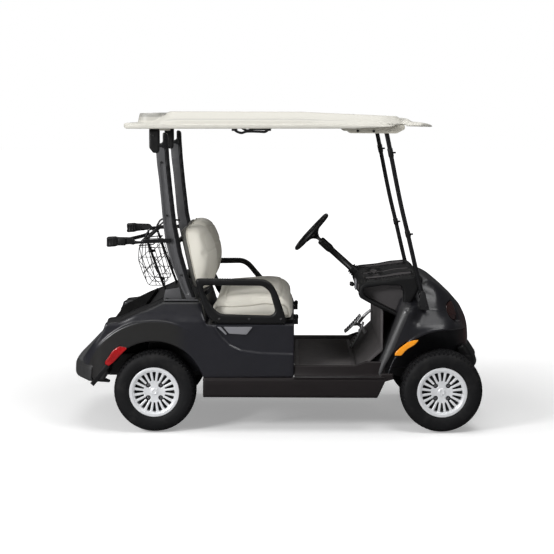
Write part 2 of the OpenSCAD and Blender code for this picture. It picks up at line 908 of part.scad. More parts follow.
module knuckle() {
    z = axle_z;
    color("#3a3a3d") {
        translate([front_x, kingpin_y, z - knuckle_h])
            cylinder(h = 2 * knuckle_h, r = 20);
        translate([front_x, kingpin_y, z - knuckle_h - fork_t - 6])
            cylinder(h = 2 * (knuckle_h + fork_t + 6), r = kingpin_r);
        cross_cylinder(front_x, z, kingpin_y, wheel_y + 10, spindle_r);
        // Steering arm
        rod([front_x, kingpin_y, z - 14], [front_x - arm_back, kingpin_y - arm_in, z - 14], 9);
        translate([front_x - arm_back, kingpin_y - arm_in, z - 24])
            cylinder(h = 20, r = 14);
    }
}

module left_knuckle() {
    knuckle();
}

module right_knuckle() {
    mirror([0, 1, 0]) knuckle();
}

module steering_rack() {
    color("#2b2b2d") {
        difference() {
            cross_cylinder(front_x - arm_back, axle_z + 12, -120, 120, 24);
            cross_cylinder(front_x - arm_back, axle_z + 12, -130, 130, 9 + pin_gap);
        }
        both_sides()
            block([front_x - arm_back - 18, 90, axle_z + 30], [front_x - arm_back + 18, 120, rail_z0 + 20]);
        block([front_x - arm_back - 18, -(rail_y - rail_w / 2), rail_z0 + 20],
              [front_x - arm_back + 18, rail_y - rail_w / 2, rail_z0 + 40]);
    }
}

module tie_rod() {
    x = front_x - arm_back;
    y = kingpin_y - arm_in;
    color("#8a8b8d") {
        cross_cylinder(x, axle_z + 12, -y, y, 9);
        both_sides()
            translate([x, y, axle_z + 1]) cylinder(h = 22, r = 15);
    }
}

module rear_axle() {
    z = axle_z;
    color("#2b2b2d") {
        cross_cylinder(rear_x, z, -wheel_y - 10, wheel_y + 10, spindle_r);
        cross_cylinder(rear_x, z, -wheel_y + 70, wheel_y - 70, 32);
        // Gear case
        translate([rear_x + 20, 0, z]) rotate([90, 0, 0]) cylinder(h = 180, r = 78, center = true);
        both_sides()
            cross_cylinder(rear_x, z, wheel_y - 84, wheel_y - 60, 82);
    }
}

module suspension() {
    z = axle_z;
    leaf = 10;
    color("#242426") {
        both_sides() {
            // Front and rear leaf springs under the rails
            side_solid([[front_x - 240, rail_z0 - 2], [front_x - 200, rail_z0 - 12],
                        [front_x, z + 18], [front_x + 120, rail_z0 - 12], [front_x + 140, rail_z0 - 2],
                        [front_x + 140, rail_z0], [front_x + 110, rail_z0],
                        [front_x, z + 18 + leaf], [front_x - 200, rail_z0], [front_x - 240, rail_z0]],
                       rail_y - 20, rail_y + 20);
            side_solid([[rear_x - 300, rail_z0 - 2], [rear_x, z + 32.3], [rear_x + 300, rail_z0 - 2],
                        [rear_x + 300, rail_z0], [rear_x - 300, rail_z0]],
                       rail_y - 20, rail_y + 20);
            // Rear dampers
            rod([rear_x - 47.6, rail_y + 60, z + 12],
                [rear_x - 90, rail_y + 60, well_floor_z + body_lift - 16], 20);
        }
    }
}

module engine() {
    color("#3d3d3f") raised() {
        block([rear_x + 130, -150, frame_z + 1], [rear_x + 400, 150, frame_z + 230]);
        block([rear_x + 150, -rail_y, frame_z], [rear_x + 380, rail_y, frame_z + 1]);
    }
}

// Profile of a tyre as [radius, offset] pairs
function tyre_profile() =
    let (w = tyre_width / 2, b = bead_half)
    rounded([
        [bead_r, -b], [flange_r, -b], [flange_r + 12, -w + 3], [(flange_r + tyre_r) / 2, -w],
        [tyre_r - 20, -w + 8], [tyre_r, -w + 30], [tyre_r, w - 30], [tyre_r - 20, w - 8],
        [(flange_r + tyre_r) / 2, w], [flange_r + 12, w - 3], [flange_r, b], [bead_r, b]
    ], 10, 4);

// Turn a wheel piece, made round Z with its outer face up, to a side of the cart
module place_wheel(x, side) {
    translate([x, side * wheel_y, axle_z]) rotate([-side * 90, 0, 0]) children();
}

module tyre() {
    color("#1d1e1f")
        rotate_extrude($fn = 96) polygon([for (p = tyre_profile()) [p[0], p[1]]]);
}

module rim() {
    b = bead_half;
    face = tyre_width / 2 - 26;
    color("#b9bbbd")
        difference() {
            union() {
                rotate_extrude($fn = 96)
                    polygon([[bead_r - 8, -b - 8], [flange_r, -b - 8], [flange_r, -b - 2],
                             [bead_r, -b - 2], [bead_r, b + 2], [flange_r, b + 2],
                             [flange_r, b + 8], [bead_r - 8, b + 8]]);
                translate([0, 0, face - 14]) cylinder(h = 14, r = bead_r - 7);
                translate([0, 0, -34]) cylinder(h = face + 34, r = hub_r);
                translate([0, 0, face - 1]) cylinder(h = 14, r = 26);
            }
            // Bore for the spindle
            translate([0, 0, -60]) cylinder(h = 60 + 12, r = spindle_r + pin_gap);
            // Stud pockets
            for (a = [45 : 90 : 315])
                rotate([0, 0, a]) translate([stud_circle_r, 0, face - 8]) cylinder(h = 30, r = 12);
            // Slots
            for (i = [0 : rim_slots - 1])
                rotate([0, 0, i * 360 / rim_slots])
                    translate([80, -5, face - 30]) cube([34, 10, 60]);
        }
}

module front_left_tyre() { place_wheel(front_x, 1) tyre(); }
module front_right_tyre() { place_wheel(front_x, -1) tyre(); }
module rear_left_tyre() { place_wheel(rear_x, 1) tyre(); }
module rear_right_tyre() { place_wheel(rear_x, -1) tyre(); }
module front_left_rim() { place_wheel(front_x, 1) rim(); }
module front_right_rim() { place_wheel(front_x, -1) rim(); }
module rear_left_rim() { place_wheel(rear_x, 1) rim(); }
module rear_right_rim() { place_wheel(rear_x, -1) rim(); }

frame_rails();
frame_crossmembers();
floor_pan();
floor_mat();
sills();
rear_body();
bag_well();
rear_bumper();
tail_lights();
rear_struts();
roof();
roof_brackets();
front_struts();
roof_handles();
seat_back_shells();
seat_backs();
seat_back_frame();
seat_hinges();
left_armrest();
right_armrest();
dashboard();
front_cowl();
front_bumper();
headlights();
marker_lights();
pedals();
steering_column();
bag_rack();
basket_posts();
basket();
front_axle_beam();
suspension();
steering_rack();
rear_axle();
engine();
seat_cushion();
seat_board();
steering_wheel();
tie_rod();
left_knuckle();
right_knuckle();
front_left_tyre();
front_right_tyre();
rear_left_tyre();
rear_right_tyre();
front_left_rim();
front_right_rim();
rear_left_rim();
rear_right_rim();
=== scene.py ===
"""Golf cart: camera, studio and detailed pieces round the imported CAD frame. Metres, X forward, Y left, Z up."""
import json
import math

import bmesh
import bpy
import numpy as np
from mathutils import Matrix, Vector


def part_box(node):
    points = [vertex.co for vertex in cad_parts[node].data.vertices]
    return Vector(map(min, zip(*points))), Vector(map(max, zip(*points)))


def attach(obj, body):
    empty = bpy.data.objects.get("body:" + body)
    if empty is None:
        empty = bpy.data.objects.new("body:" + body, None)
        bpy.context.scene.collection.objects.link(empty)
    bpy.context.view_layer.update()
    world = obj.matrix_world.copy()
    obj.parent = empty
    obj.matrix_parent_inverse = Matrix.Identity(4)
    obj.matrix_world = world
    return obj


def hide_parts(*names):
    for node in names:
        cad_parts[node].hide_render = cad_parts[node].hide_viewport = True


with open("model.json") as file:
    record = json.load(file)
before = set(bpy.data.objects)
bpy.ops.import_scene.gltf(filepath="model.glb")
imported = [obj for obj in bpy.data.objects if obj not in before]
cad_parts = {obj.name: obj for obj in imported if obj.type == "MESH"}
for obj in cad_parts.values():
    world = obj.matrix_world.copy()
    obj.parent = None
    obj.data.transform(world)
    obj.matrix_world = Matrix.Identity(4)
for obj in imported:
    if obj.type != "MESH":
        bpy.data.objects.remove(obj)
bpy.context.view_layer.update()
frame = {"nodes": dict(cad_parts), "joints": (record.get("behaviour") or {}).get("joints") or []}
scene = bpy.context.scene
nodes = frame["nodes"]
joints = {j["name"]: j for j in frame["joints"]}
MM = 0.001
# Slope of the pillar strip along the front wing's back edge, and where its middle lies
PILLAR_COS, PILLAR_SIN, PILLAR_MIDDLE = 0.924, 0.382, 0.3983
# The camera of the photo: focal length in mm, place, tilt down and turn in degrees
LENS, CAMERA, TILT, TURN = 93.8, (0.084, -8.668, 1.822), 6.52, 0.615
# Light from the backdrop: on the cart, and how much less of it glossy rays see
AMBIENT, GLOSSY_DROP = 0.19, 0.13
# Steering wheel: its centre, and the column's slope in degrees
WHEEL_CENTRE, COLUMN_SLOPE = (0.202, 0.280, 1.082), 42
# Middle planes of pieces that stand on both sides: front and rear struts, roof handles, rack arms, basket posts
FRONT_STRUT_Y, REAR_STRUT_Y, HANDLE_Y, RACK_ARM_Y, POST_Y = 0.484, 0.492, 0.566, 0.516, 0.330
# Thin wires of the basket
HOOP_WIRE, END_WIRE, RIM_WIRE = 0.0023, 0.0021, 0.0035
TREAD_STEPS, TREAD_BLOCKS = 324, 54

# Places that the frame gives
FRONT = Vector(joints["front_left_wheel_roll"]["pos_m"])
REAR = Vector(joints["rear_left_wheel_roll"]["pos_m"])
FX, RX, AXLE_Z, WHEEL_Y = FRONT.x, REAR.x, FRONT.z, FRONT.y
BODY_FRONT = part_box("rear_body")[1].x


# ---------------------------------------------------------------- materials

def add_node(tree, kind, inputs=(), **settings):
    """A shader node whose inputs take values or other nodes' outputs."""
    made = tree.nodes.new("ShaderNode" + kind)
    for key, value in settings.items():
        setattr(made, key, value)
    for key, value in dict(inputs).items():
        if isinstance(value, bpy.types.NodeSocket):
            tree.links.new(value, made.inputs[key])
        else:
            made.inputs[key].default_value = value
    return made


def zone_factor(tree, place, ranges):
    """Where a zone of a surface lies: the product of smooth steps along its ranges.

    A range is what it runs along, then the two values between which the zone fades in. It runs along an axis,
    the distance from the rear axle ("r"), a part of the normal ("ny", "nz") or the distance from the middle
    of the front pillar ("strip")."""
    x, y, z = add_node(tree, "SeparateXYZ", {0: place}).outputs

    def calc(operation, a, b=0.0):
        return add_node(tree, "Math", {0: a, 1: b}, operation=operation).outputs[0]

    total = None
    for kind, start, end in ranges:
        if kind == "r":
            dx, dz = calc("SUBTRACT", x, RX), calc("SUBTRACT", z, AXLE_Z)
            value = calc("SQRT", calc("ADD", calc("MULTIPLY", dx, dx), calc("MULTIPLY", dz, dz)))
        elif kind in ("ny", "nz"):
            normal = add_node(tree, "NewGeometry").outputs["Normal"]
            value = add_node(tree, "SeparateXYZ", {0: normal}).outputs["xyz".index(kind[1])]
        elif kind == "strip":
            run = calc("SUBTRACT", calc("MULTIPLY", x, PILLAR_COS), calc("MULTIPLY", z, PILLAR_SIN))
            value = calc("ABSOLUTE", calc("SUBTRACT", run, PILLAR_MIDDLE))
        else:
            value = {"x": x, "y": y, "z": z}[kind]
        step = add_node(tree, "MapRange", {
            "From Min": min(start, end), "From Max": max(start, end), "To Min": float(start >= end),
            "To Max": float(start < end), "Value": value},
            interpolation_type="SMOOTHSTEP").outputs["Result"]
        total = step if total is None else calc("MULTIPLY", total, step)
    return total


def material(name, colour, rough=0.5, metal=0.0, vary=0.12, grain=800.0, bump=0.05, coat=0.0,
             rough_vary=0.08, blotch=6.0, dust=0.0, sheen=0.0, flake=0.0, spec=0.5, zones=()):
    """A surface with cloudy colour, uneven roughness, fine moulded grain and, if asked, dust, flake or zones.

    Colours are linear. A zone is a colour with the ranges that zone_factor reads; some zones are painted light or
    shade."""
    mat = bpy.data.materials.new(name)
    mat.use_nodes = True
    tree = mat.node_tree
    shader = tree.nodes["Principled BSDF"]
    for key, value in (("Metallic", metal), ("Coat Weight", coat), ("Coat Roughness", 0.12),
                       ("Sheen Weight", sheen), ("Specular IOR Level", spec)):
        shader.inputs[key].default_value = value
    place = add_node(tree, "TexCoord").outputs["Object"]

    def noise(scale, detail=3.0):
        return add_node(tree, "TexNoise", {"Scale": scale, "Detail": detail,
                                           "Vector": place}).outputs["Fac"]

    def mix(fac, a, b):
        a, b = ((*c, 1.0) if isinstance(c, tuple) else c for c in (a, b))
        return add_node(tree, "Mix", {"Factor": fac, 6: a, 7: b}, data_type="RGBA").outputs[2]

    def remap(value, **ends):
        ends = {key.replace("_", " "): end for key, end in ends.items()}
        return add_node(tree, "MapRange", {**ends, "Value": value}).outputs["Result"]

    dark = tuple(c * (1 - vary) for c in colour)
    light = tuple(min(1.0, c * (1 + vary)) for c in colour)
    base = mix(noise(blotch), dark, light)
    if flake:
        sparkle = add_node(tree, "TexVoronoi", {"Scale": 1500.0, "Vector": place}).outputs["Distance"]
        base = mix(remap(sparkle, From_Min=0.0, From_Max=0.35, To_Min=flake, To_Max=0.0), base,
                   (0.32, 0.33, 0.37))
    for tint, ranges in zones:
        base = mix(zone_factor(tree, place, ranges), base, tint)
    if dust:
        base = mix(remap(noise(blotch * 3), From_Min=0.5, From_Max=0.75, To_Max=dust), base,
                   (0.32, 0.30, 0.27))
    tree.links.new(base, shader.inputs["Base Color"])
    spread = remap(noise(blotch * 5), To_Min=max(0.02, rough - rough_vary),
                   To_Max=min(1.0, rough + rough_vary))
    tree.links.new(spread, shader.inputs["Roughness"])
    if bump:
        relief = add_node(tree, "Bump", {"Strength": bump, "Distance": 0.001, "Height": noise(grain, 5.0)})
        tree.links.new(relief.outputs["Normal"], shader.inputs["Normal"])
    return mat


FLARE_ZONE = ((0.0165, 0.0160, 0.0155), (("r", 0.4075, 0.4045), ("x", -0.50, -0.60), ("z", 0.26, 0.30)))
# Painted light: where the rear deck faces up it gets a lighter, less blue tone, standing in for the overhead
# light on it.
DECK_TOP_LIGHT_ZONE = ((0.0135, 0.0135, 0.0145), (("nz", 0.45, 0.75), ("x", -0.44, -0.45), ("z", 0.56, 0.60)))
PILLAR_ZONE = ((0.042, 0.042, 0.044), (("strip", 0.027, 0.024), ("z", 0.30, 0.33), ("x", 0.765, 0.745)))
# Painted shade: the top of the rear hump on the roof is coloured grey, standing in for the shade on that rounded
# bump.
HUMP_SHADE_ZONE = ((0.36, 0.355, 0.33), (("x", -0.655, -0.662), ("z", 1.792, 1.797)))
# Painted shade: the sloping faces of the roof crown are coloured darker than its flat top.
CROWN_SLOPE_SHADE_ZONE = ((0.50, 0.490, 0.450), (("z", 1.771, 1.777), ("nz", 0.80, 0.60)))
FACET_ZONE = ((0.070, 0.070, 0.071), (("z", 0.386, 0.392),))
POCKET_ZONE = ((0.085, 0.080, 0.082), (("y", -0.468, -0.458), ("z", 0.655, 0.660), ("ny", -0.80, -0.95)))
NOSE_ZONE = ((0.040, 0.018, 0.016), (("x", 1.03, 1.12), ("z", 0.42, 0.52)))
M = {
    "body": material("body_paint", (0.0120, 0.0120, 0.0165), 0.36, coat=0.20, flake=0.05, bump=0.012,
                     grain=420,
                     zones=(FLARE_ZONE, DECK_TOP_LIGHT_ZONE)),
    "cowl": material("cowl_paint", (0.0110, 0.0110, 0.0140), 0.36, coat=0.20, flake=0.05, bump=0.012,
                     grain=420,
                     zones=(PILLAR_ZONE, NOSE_ZONE)),
    "bumper": material("bumper_plastic", (0.030, 0.030, 0.031), 0.55, bump=0.12, grain=900, dust=0.03,
                       zones=(FACET_ZONE,)),
    "sill": material("sill_plastic", (0.0125, 0.0095, 0.0100), 0.5, bump=0.08, grain=900, spec=0.3),
    "dash": material("dash_plastic", (0.0070, 0.0070, 0.0075), 0.6, bump=0.14, grain=1100, spec=0.25,
                     zones=(POCKET_ZONE,)),
    "black": material("black_plastic", (0.0070, 0.0070, 0.0075), 0.42, bump=0.07, grain=1000, spec=0.35),
    "liner": material("liner_plastic", (0.004, 0.004, 0.004), 0.7, bump=0.1, grain=500, dust=0.02,
                      spec=0.2),
    "mat": material("mat_rubber", (0.062, 0.057, 0.058), 0.72, bump=0.15, grain=700, dust=0.05),
    "steel": material("black_steel", (0.012, 0.012, 0.013), 0.42, bump=0.03, grain=1500, coat=0.2),
    "strut": material("strut_paint", (0.075, 0.075, 0.079), 0.40, vary=0.06, bump=0.02, grain=1500,
                      coat=0.2),
    "tube": material("tube_paint", (0.006, 0.006, 0.007), 0.3, bump=0.015, grain=1500, coat=0.2),
    "ivory": material("ivory_plastic", (0.60, 0.585, 0.53), 0.45, vary=0.02, bump=0.05, grain=500, blotch=3,
                      zones=(CROWN_SLOPE_SHADE_ZONE, HUMP_SHADE_ZONE)),
    "bracket": material("bracket_plastic", (0.46, 0.44, 0.38), 0.5, vary=0.04, bump=0.05),
    "vinyl": material("seat_vinyl", (0.70, 0.675, 0.600), 0.5, vary=0.03, bump=0.22, grain=650, blotch=4,
                      sheen=0.10, rough_vary=0.06),
    "shell": material("seat_shell", (0.105, 0.102, 0.092), 0.5, bump=0.1, grain=900),
    "piping": material("seat_piping", (0.56, 0.53, 0.46), 0.5, vary=0.04, bump=0.1),
    "tyre": material("tyre_rubber", (0.0065, 0.0065, 0.0075), 0.66, vary=0.2, bump=0.12, grain=900,
                     dust=0.025, spec=0.25),
    "rim": material("rim_metal", (0.82, 0.83, 0.85), 0.34, metal=0.25, vary=0.03, bump=0.01, grain=300),
    "rim_dark": material("rim_inside", (0.012, 0.012, 0.013), 0.6, metal=0.2, bump=0.03),
    "chrome": material("bright_steel", (0.55, 0.55, 0.57), 0.25, metal=1.0, vary=0.05, bump=0.01),
    "pedal": material("pedal_metal", (0.50, 0.50, 0.51), 0.4, metal=0.4, vary=0.08, bump=0.05),
    "plate": material("plate_metal", (0.42, 0.42, 0.45), 0.36, metal=0.4, vary=0.05, bump=0.02),
    "stripe": material("stripe_paint", (0.20, 0.20, 0.215), 0.4, vary=0.05, bump=0.02),
    "red": material("red_lens", (0.34, 0.002, 0.004), 0.25, vary=0.6, blotch=22, coat=0.12, bump=0.05,
                    grain=260),
    "amber": material("amber_lens", (0.95, 0.33, 0.010), 0.25, vary=0.08, coat=0.15, bump=0.05, grain=260),
    "lens": material("dark_lens", (0.030, 0.012, 0.011), 0.12, vary=0.3, coat=0.3, bump=0.02, grain=150),
    "engine": material("engine_metal", (0.10, 0.10, 0.10), 0.6, metal=0.5, vary=0.3, bump=0.3, grain=300),
    "web": material("webbing", (0.010, 0.010, 0.011), 0.85, bump=0.3, grain=1400),
}


# ---------------------------------------------------------------- helpers

def add_mesh(name, verts, faces, mat, **more):
    """A mesh object from points and faces that rides on a body."""
    mesh = bpy.data.meshes.new(name)
    mesh.from_pydata([tuple(v) for v in verts], [], [tuple(f) for f in faces])
    mesh.validate()
    obj = bpy.data.objects.new(name, mesh)
    scene.collection.objects.link(obj)
    return finish_piece(obj, mat, **more)


def finish_piece(obj, mat, body="chassis", slot=None, replaces=(), bevel=0.0, angle=35):
    """Clean a mesh, soften its edges sharper than angle by bevel, hang it on its body and hide the CAD nodes it
    replaces.
    """
    bm = bmesh.new()
    bm.from_mesh(obj.data)
    bmesh.ops.remove_doubles(bm, verts=bm.verts, dist=1e-5)
    bmesh.ops.recalc_face_normals(bm, faces=bm.faces)
    bm.to_mesh(obj.data)
    bm.free()
    obj.data.materials.clear()
    obj.data.materials.append(M[mat])
    if bevel:
        edge = obj.modifiers.new("bevel", "BEVEL")
        edge.width = bevel
        edge.segments = 3
        edge.limit_method = "ANGLE"
        edge.angle_limit = math.radians(angle)
        edge.harden_normals = False
    obj.data.shade_smooth()
    if bevel:
        obj.data.set_sharp_from_angle(angle=math.radians(angle))
    apply_modifiers(obj)
    if bevel:
        obj.data.set_sharp_from_angle(angle=math.radians(angle))
    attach(obj, body)
    if replaces:
        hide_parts(*replaces)
    return obj


def apply_modifiers(obj):
    """Make the mesh what its modifiers show, and drop them."""
    if not obj.modifiers:
        return
    bpy.context.view_layer.update()
    graph = bpy.context.evaluated_depsgraph_get()
    mesh = bpy.data.meshes.new_from_object(obj.evaluated_get(graph))
    obj.modifiers.clear()
    old = obj.data
    obj.data = mesh
    bpy.data.meshes.remove(old)


def cad_copy(name, node, mat, bevel, slot):
    """A copy of a CAD node with softened edges, which stands for that node."""
    bm = bmesh.new()
    bm.from_mesh(nodes[node].data)
    bmesh.ops.remove_doubles(bm, verts=bm.verts, dist=2e-5)
    bmesh.ops.dissolve_limit(bm, angle_limit=math.radians(2), verts=bm.verts, edges=bm.edges)
    mesh = bpy.data.meshes.new(name)
    bm.to_mesh(mesh)
    bm.free()
    obj = bpy.data.objects.new(name, mesh)
    scene.collection.objects.link(obj)
    return finish_piece(obj, mat, slot=slot, replaces=(node,), bevel=bevel, angle=28)


def catmull(points, t):
    """Points on a smooth curve through an array of control points, at each t from 0 to n - 1."""
    p = np.asarray(points, float)
    n = len(p)
    t = np.clip(np.atleast_1d(np.asarray(t, float)), 0, n - 1)
    i = np.minimum(t.astype(int), n - 2)
    f = (t - i)[(...,) + (None,) * (p.ndim - 1)]
    a, b, c, d = (p[np.clip(i + k, 0, n - 1)] for k in (-1, 0, 1, 2))
    return 0.5 * (2 * b + (c - a) * f + (2 * a - 5 * b + 4 * c - d) * f ** 2
                  + (3 * b - a - 3 * c + d) * f ** 3)


def sweep(path, section, closed=False, up=(0, 0, 1)):
    """A closed section of [side, up] points carried along a path."""
    path = np.asarray(path, float)
    apart = np.linalg.norm(path - np.roll(path, 1, 0), axis=1) > 1e-6
    if not closed:
        apart[0] = True
    path = path[apart]
    n, m = len(path), len(section)
    if closed:
        tangent = np.roll(path, -1, 0) - np.roll(path, 1, 0)
    else:
        tangent = np.gradient(path, axis=0)
    tangent /= np.linalg.norm(tangent, axis=1)[:, None]
    side = np.cross(tangent, np.asarray(up, float))
    side /= np.linalg.norm(side, axis=1)[:, None]
    rise = np.cross(side, tangent)
    sec = np.asarray(section, float)
    pts = (path[:, None] + side[:, None] * sec[None, :, :1] + rise[:, None] * sec[None, :,
                                                                                  1:]).reshape(-1, 3)
    faces = []
    for i in range(n if closed else n - 1):
        k = (i + 1) % n
        faces += [(i * m + j, i * m + (j + 1) % m, k * m + (j + 1) % m, k * m + j) for j in range(m)]
    if not closed:
        faces += [tuple(range(m - 1, -1, -1)), tuple(range((n - 1) * m, n * m))]
    return pts, faces


def ring(r, n=12):
    """Section of a round bar."""
    return [(r * math.cos(2 * math.pi * k / n), r * math.sin(2 * math.pi * k / n)) for k in range(n)]


def rounded_rect(w, h, r, n=4):
    """Section of a bar w wide and h high with round corners."""
    pts = []
    for cx, cy, a0 in ((w / 2 - r, h / 2 - r, 0), (-w / 2 + r, h / 2 - r, 90),
                       (-w / 2 + r, -h / 2 + r, 180), (w / 2 - r, -h / 2 + r, 270)):
        for k in range(n + 1):
            a = math.radians(a0 + 90 * k / n)
            pts.append((cx + r * math.cos(a), cy + r * math.sin(a)))
    return pts


def smooth_path(points, n):
    return catmull(np.asarray(points, float), np.linspace(0, len(points) - 1, n))


def combine(parts):
    """Several (points, faces) as one."""
    pts, faces, k = [], [], 0
    for p, f in parts:
        p = np.asarray(p, float)
        pts.append(p)
        faces += [tuple(i + k for i in g) for g in f]
        k += len(p)
    return np.vstack(pts), faces


def box_part(lo, hi):
    lo, hi = np.asarray(lo, float), np.asarray(hi, float)
    pts = np.array([[(lo, hi)[i][0], (lo, hi)[j][1], (lo, hi)[k][2]]
                    for i in (0, 1) for j in (0, 1) for k in (0, 1)])
    faces = [(0, 1, 3, 2), (4, 6, 7, 5), (0, 4, 5, 1), (2, 3, 7, 6), (0, 2, 6, 4), (1, 5, 7, 3)]
    return pts, faces


def revolve(profile, n):
    """Points [radius, height] turned round Y: height runs along -Y, the outer side of a right wheel."""
    prof = np.asarray(profile, float)
    m = len(prof)
    a = np.linspace(0, 2 * math.pi, n, endpoint=False)
    pts = np.stack([np.outer(np.cos(a), prof[:, 0]),
                    np.broadcast_to(-prof[:, 1], (n, m)),
                    np.outer(np.sin(a), prof[:, 0])], -1).reshape(-1, 3)
    faces = []
    for i in range(n):
        k = (i + 1) % n
        faces += [(i * m + j, k * m + j, k * m + j + 1, i * m + j + 1) for j in range(m - 1)]
    return pts, faces


def bolt(centre, axis, r=0.008, h=0.006):
    """A hexagon bolt head with a washer."""
    axis = Vector(axis).normalized()
    turn = axis.to_track_quat("Z", "X").to_matrix()
    parts = []
    for radius, z0, z1, n in ((r * 1.45, 0, h * 0.3, 20), (r, h * 0.3, h, 6)):
        pts = [(radius * math.cos(2 * math.pi * k / n), radius * math.sin(2 * math.pi * k / n), z)
               for z in (z0, z1) for k in range(n)]
        faces = [(k, (k + 1) % n, n + (k + 1) % n, n + k) for k in range(n)]
        faces += [tuple(range(n, 2 * n)), tuple(range(n - 1, -1, -1))]
        parts.append((np.array([list(turn @ Vector(p) + Vector(centre)) for p in pts]), faces))
    return combine(parts)


# ---------------------------------------------------------------- camera, floor and light

def stage():
    cam = bpy.data.cameras.new("camera")
    cam.sensor_width = 36.0
    cam.lens = LENS
    cam.clip_end = 100
    obj = bpy.data.objects.new("camera", cam)
    obj.location = CAMERA
    obj.rotation_euler = (math.radians(90 - TILT), 0, math.radians(TURN))
    scene.collection.objects.link(obj)
    scene.camera = obj

    mesh = bpy.data.meshes.new("floor")
    mesh.from_pydata([(-40, -40, 0), (40, -40, 0), (40, 60, 0), (-40, 60, 0)], [], [(0, 1, 2, 3)])
    floor = bpy.data.objects.new("floor", mesh)
    scene.collection.objects.link(floor)
    mat = bpy.data.materials.new("floor_paper")
    mat.use_nodes = True
    tree = mat.node_tree
    shader = tree.nodes["Principled BSDF"]
    shader.inputs["Roughness"].default_value = 0.9
    grain = add_node(tree, "TexNoise", {"Scale": 3.0}).outputs["Fac"]
    tone = add_node(tree, "Mix", {"Factor": grain, 6: (0.90, 0.90, 0.90, 1), 7: (0.93, 0.93, 0.93, 1)},
                    data_type="RGBA")
    tree.links.new(tone.outputs[2], shader.inputs["Base Color"])
    # Lift the paper to white where the camera sees it, most of all far away, and keep the shadow
    path = add_node(tree, "LightPath").outputs
    spot = add_node(tree, "VectorMath", {0: add_node(tree, "TexCoord").outputs["Object"]},
                    operation="LENGTH")
    lift = add_node(tree, "MapRange", {"From Min": 1.6, "From Max": 4.5, "To Min": 0.30, "To Max": 1.0,
                                       "Value": spot.outputs["Value"]})
    glow = add_node(tree, "Emission", {"Strength": lift.outputs["Result"]})
    both = add_node(tree, "AddShader", {0: shader.outputs[0], 1: glow.outputs[0]})
    seen = add_node(tree, "MixShader", {"Fac": path["Is Camera Ray"], 1: shader.outputs[0],
                                        2: both.outputs[0]})
    dim = add_node(tree, "BsdfDiffuse", {"Color": (0.16, 0.16, 0.165, 1)})
    gate = add_node(tree, "MixShader", {"Fac": path["Is Glossy Ray"], 1: seen.outputs[0],
                                        2: dim.outputs[0]})
    tree.links.new(gate.outputs[0], tree.nodes["Material Output"].inputs["Surface"])
    mesh.materials.append(mat)

    world = bpy.data.worlds.new("studio")
    scene.world = world
    world.use_nodes = True
    tree = world.node_tree
    path = add_node(tree, "LightPath").outputs
    seen = add_node(tree, "Math", {0: path["Is Camera Ray"], 1: path["Is Transmission Ray"]},
                    operation="MAXIMUM")
    level = add_node(tree, "MapRange", {"To Min": AMBIENT, "To Max": 1.0, "Value": seen.outputs[0]})
    gloss = add_node(tree, "Math", {0: path["Is Glossy Ray"], 1: -GLOSSY_DROP, 2: level.outputs["Result"]},
                     operation="MULTIPLY_ADD")
    back = tree.nodes["Background"]
    back.inputs["Color"].default_value = (1, 1, 1, 1)
    tree.links.new(gloss.outputs[0], back.inputs["Strength"])

    def lamp(name, place, aim, size, watts):
        light = bpy.data.lights.new(name, "AREA")
        light.shape = "RECTANGLE"
        light.size, light.size_y = size
        light.energy = watts
        o = bpy.data.objects.new(name, light)
        o.location = place
        o.rotation_euler = (Vector(aim) - Vector(place)).to_track_quat("-Z", "Y").to_euler()
        scene.collection.objects.link(o)

    lamp("overhead", (0.0, -0.5, 5.0), (0, -0.3, 0.6), (4.2, 3.2), 88)
    lamp("near_side", (-4.6, -5.2, 3.4), (0, 0, 0.7), (2.2, 1.4), 300)
    lamp("front_top", (1.9, -2.6, 4.2), (0.85, -0.45, 0.62), (1.7, 1.5), 45)
    lamp("front_strip", (5.2, -3.6, 2.6), (0.6, 0, 0.7), (0.8, 2.0), 10)
    lamp("rear_strip", (-5.5, -2.0, 3.0), (-0.4, 0, 0.7), (0.8, 2.4), 30)
    lamp("far_side", (0.5, 6.0, 4.6), (0, 0, 0.8), (3.0, 1.6), 14)
    scene.view_settings.view_transform = "Standard"


stage()


# ---------------------------------------------------------------- soft solids from distance fields

def smax(a, b, k=0.008):
    """The larger of two distances, with the corner between them rounded by k."""
    h = np.maximum(k - np.abs(a - b), 0) / k
    return np.maximum(a, b) + h * h * k / 4


def smin(a, b, k=0.008):
    """The smaller of two distances, rounded in the same way."""
    return -smax(-a, -b, k)


def ease(t):
    """A smooth step from 0 to 1."""
    t = np.clip(t, 0, 1)
    return t * t * (3 - 2 * t)


def soft(points, r=20, steps=4):
    """An outline in millimetres with its corners rounded."""
    p = np.asarray(points, float)
    out = []
    for i in range(len(p)):
        before, here, after = p[i - 1], p[i], p[(i + 1) % len(p)]
        la, lb = np.linalg.norm(before - here), np.linalg.norm(after - here)
        s = here + (before - here) / la * min(r, la * 0.45)
        e = here + (after - here) / lb * min(r, lb * 0.45)
        for k in range(steps + 1):
            t = k / steps
            out.append((1 - t) ** 2 * s + 2 * t * (1 - t) * here + t * t * e)
    return np.array(out)


def even(points, axis=1):
    """An outline that is the same on both sides: the points, then their mirror images backwards."""
    flip = (-1, 1) if axis == 0 else (1, -1)
    return list(points) + [(u * flip[0], v * flip[1]) for u, v in reversed(points)]


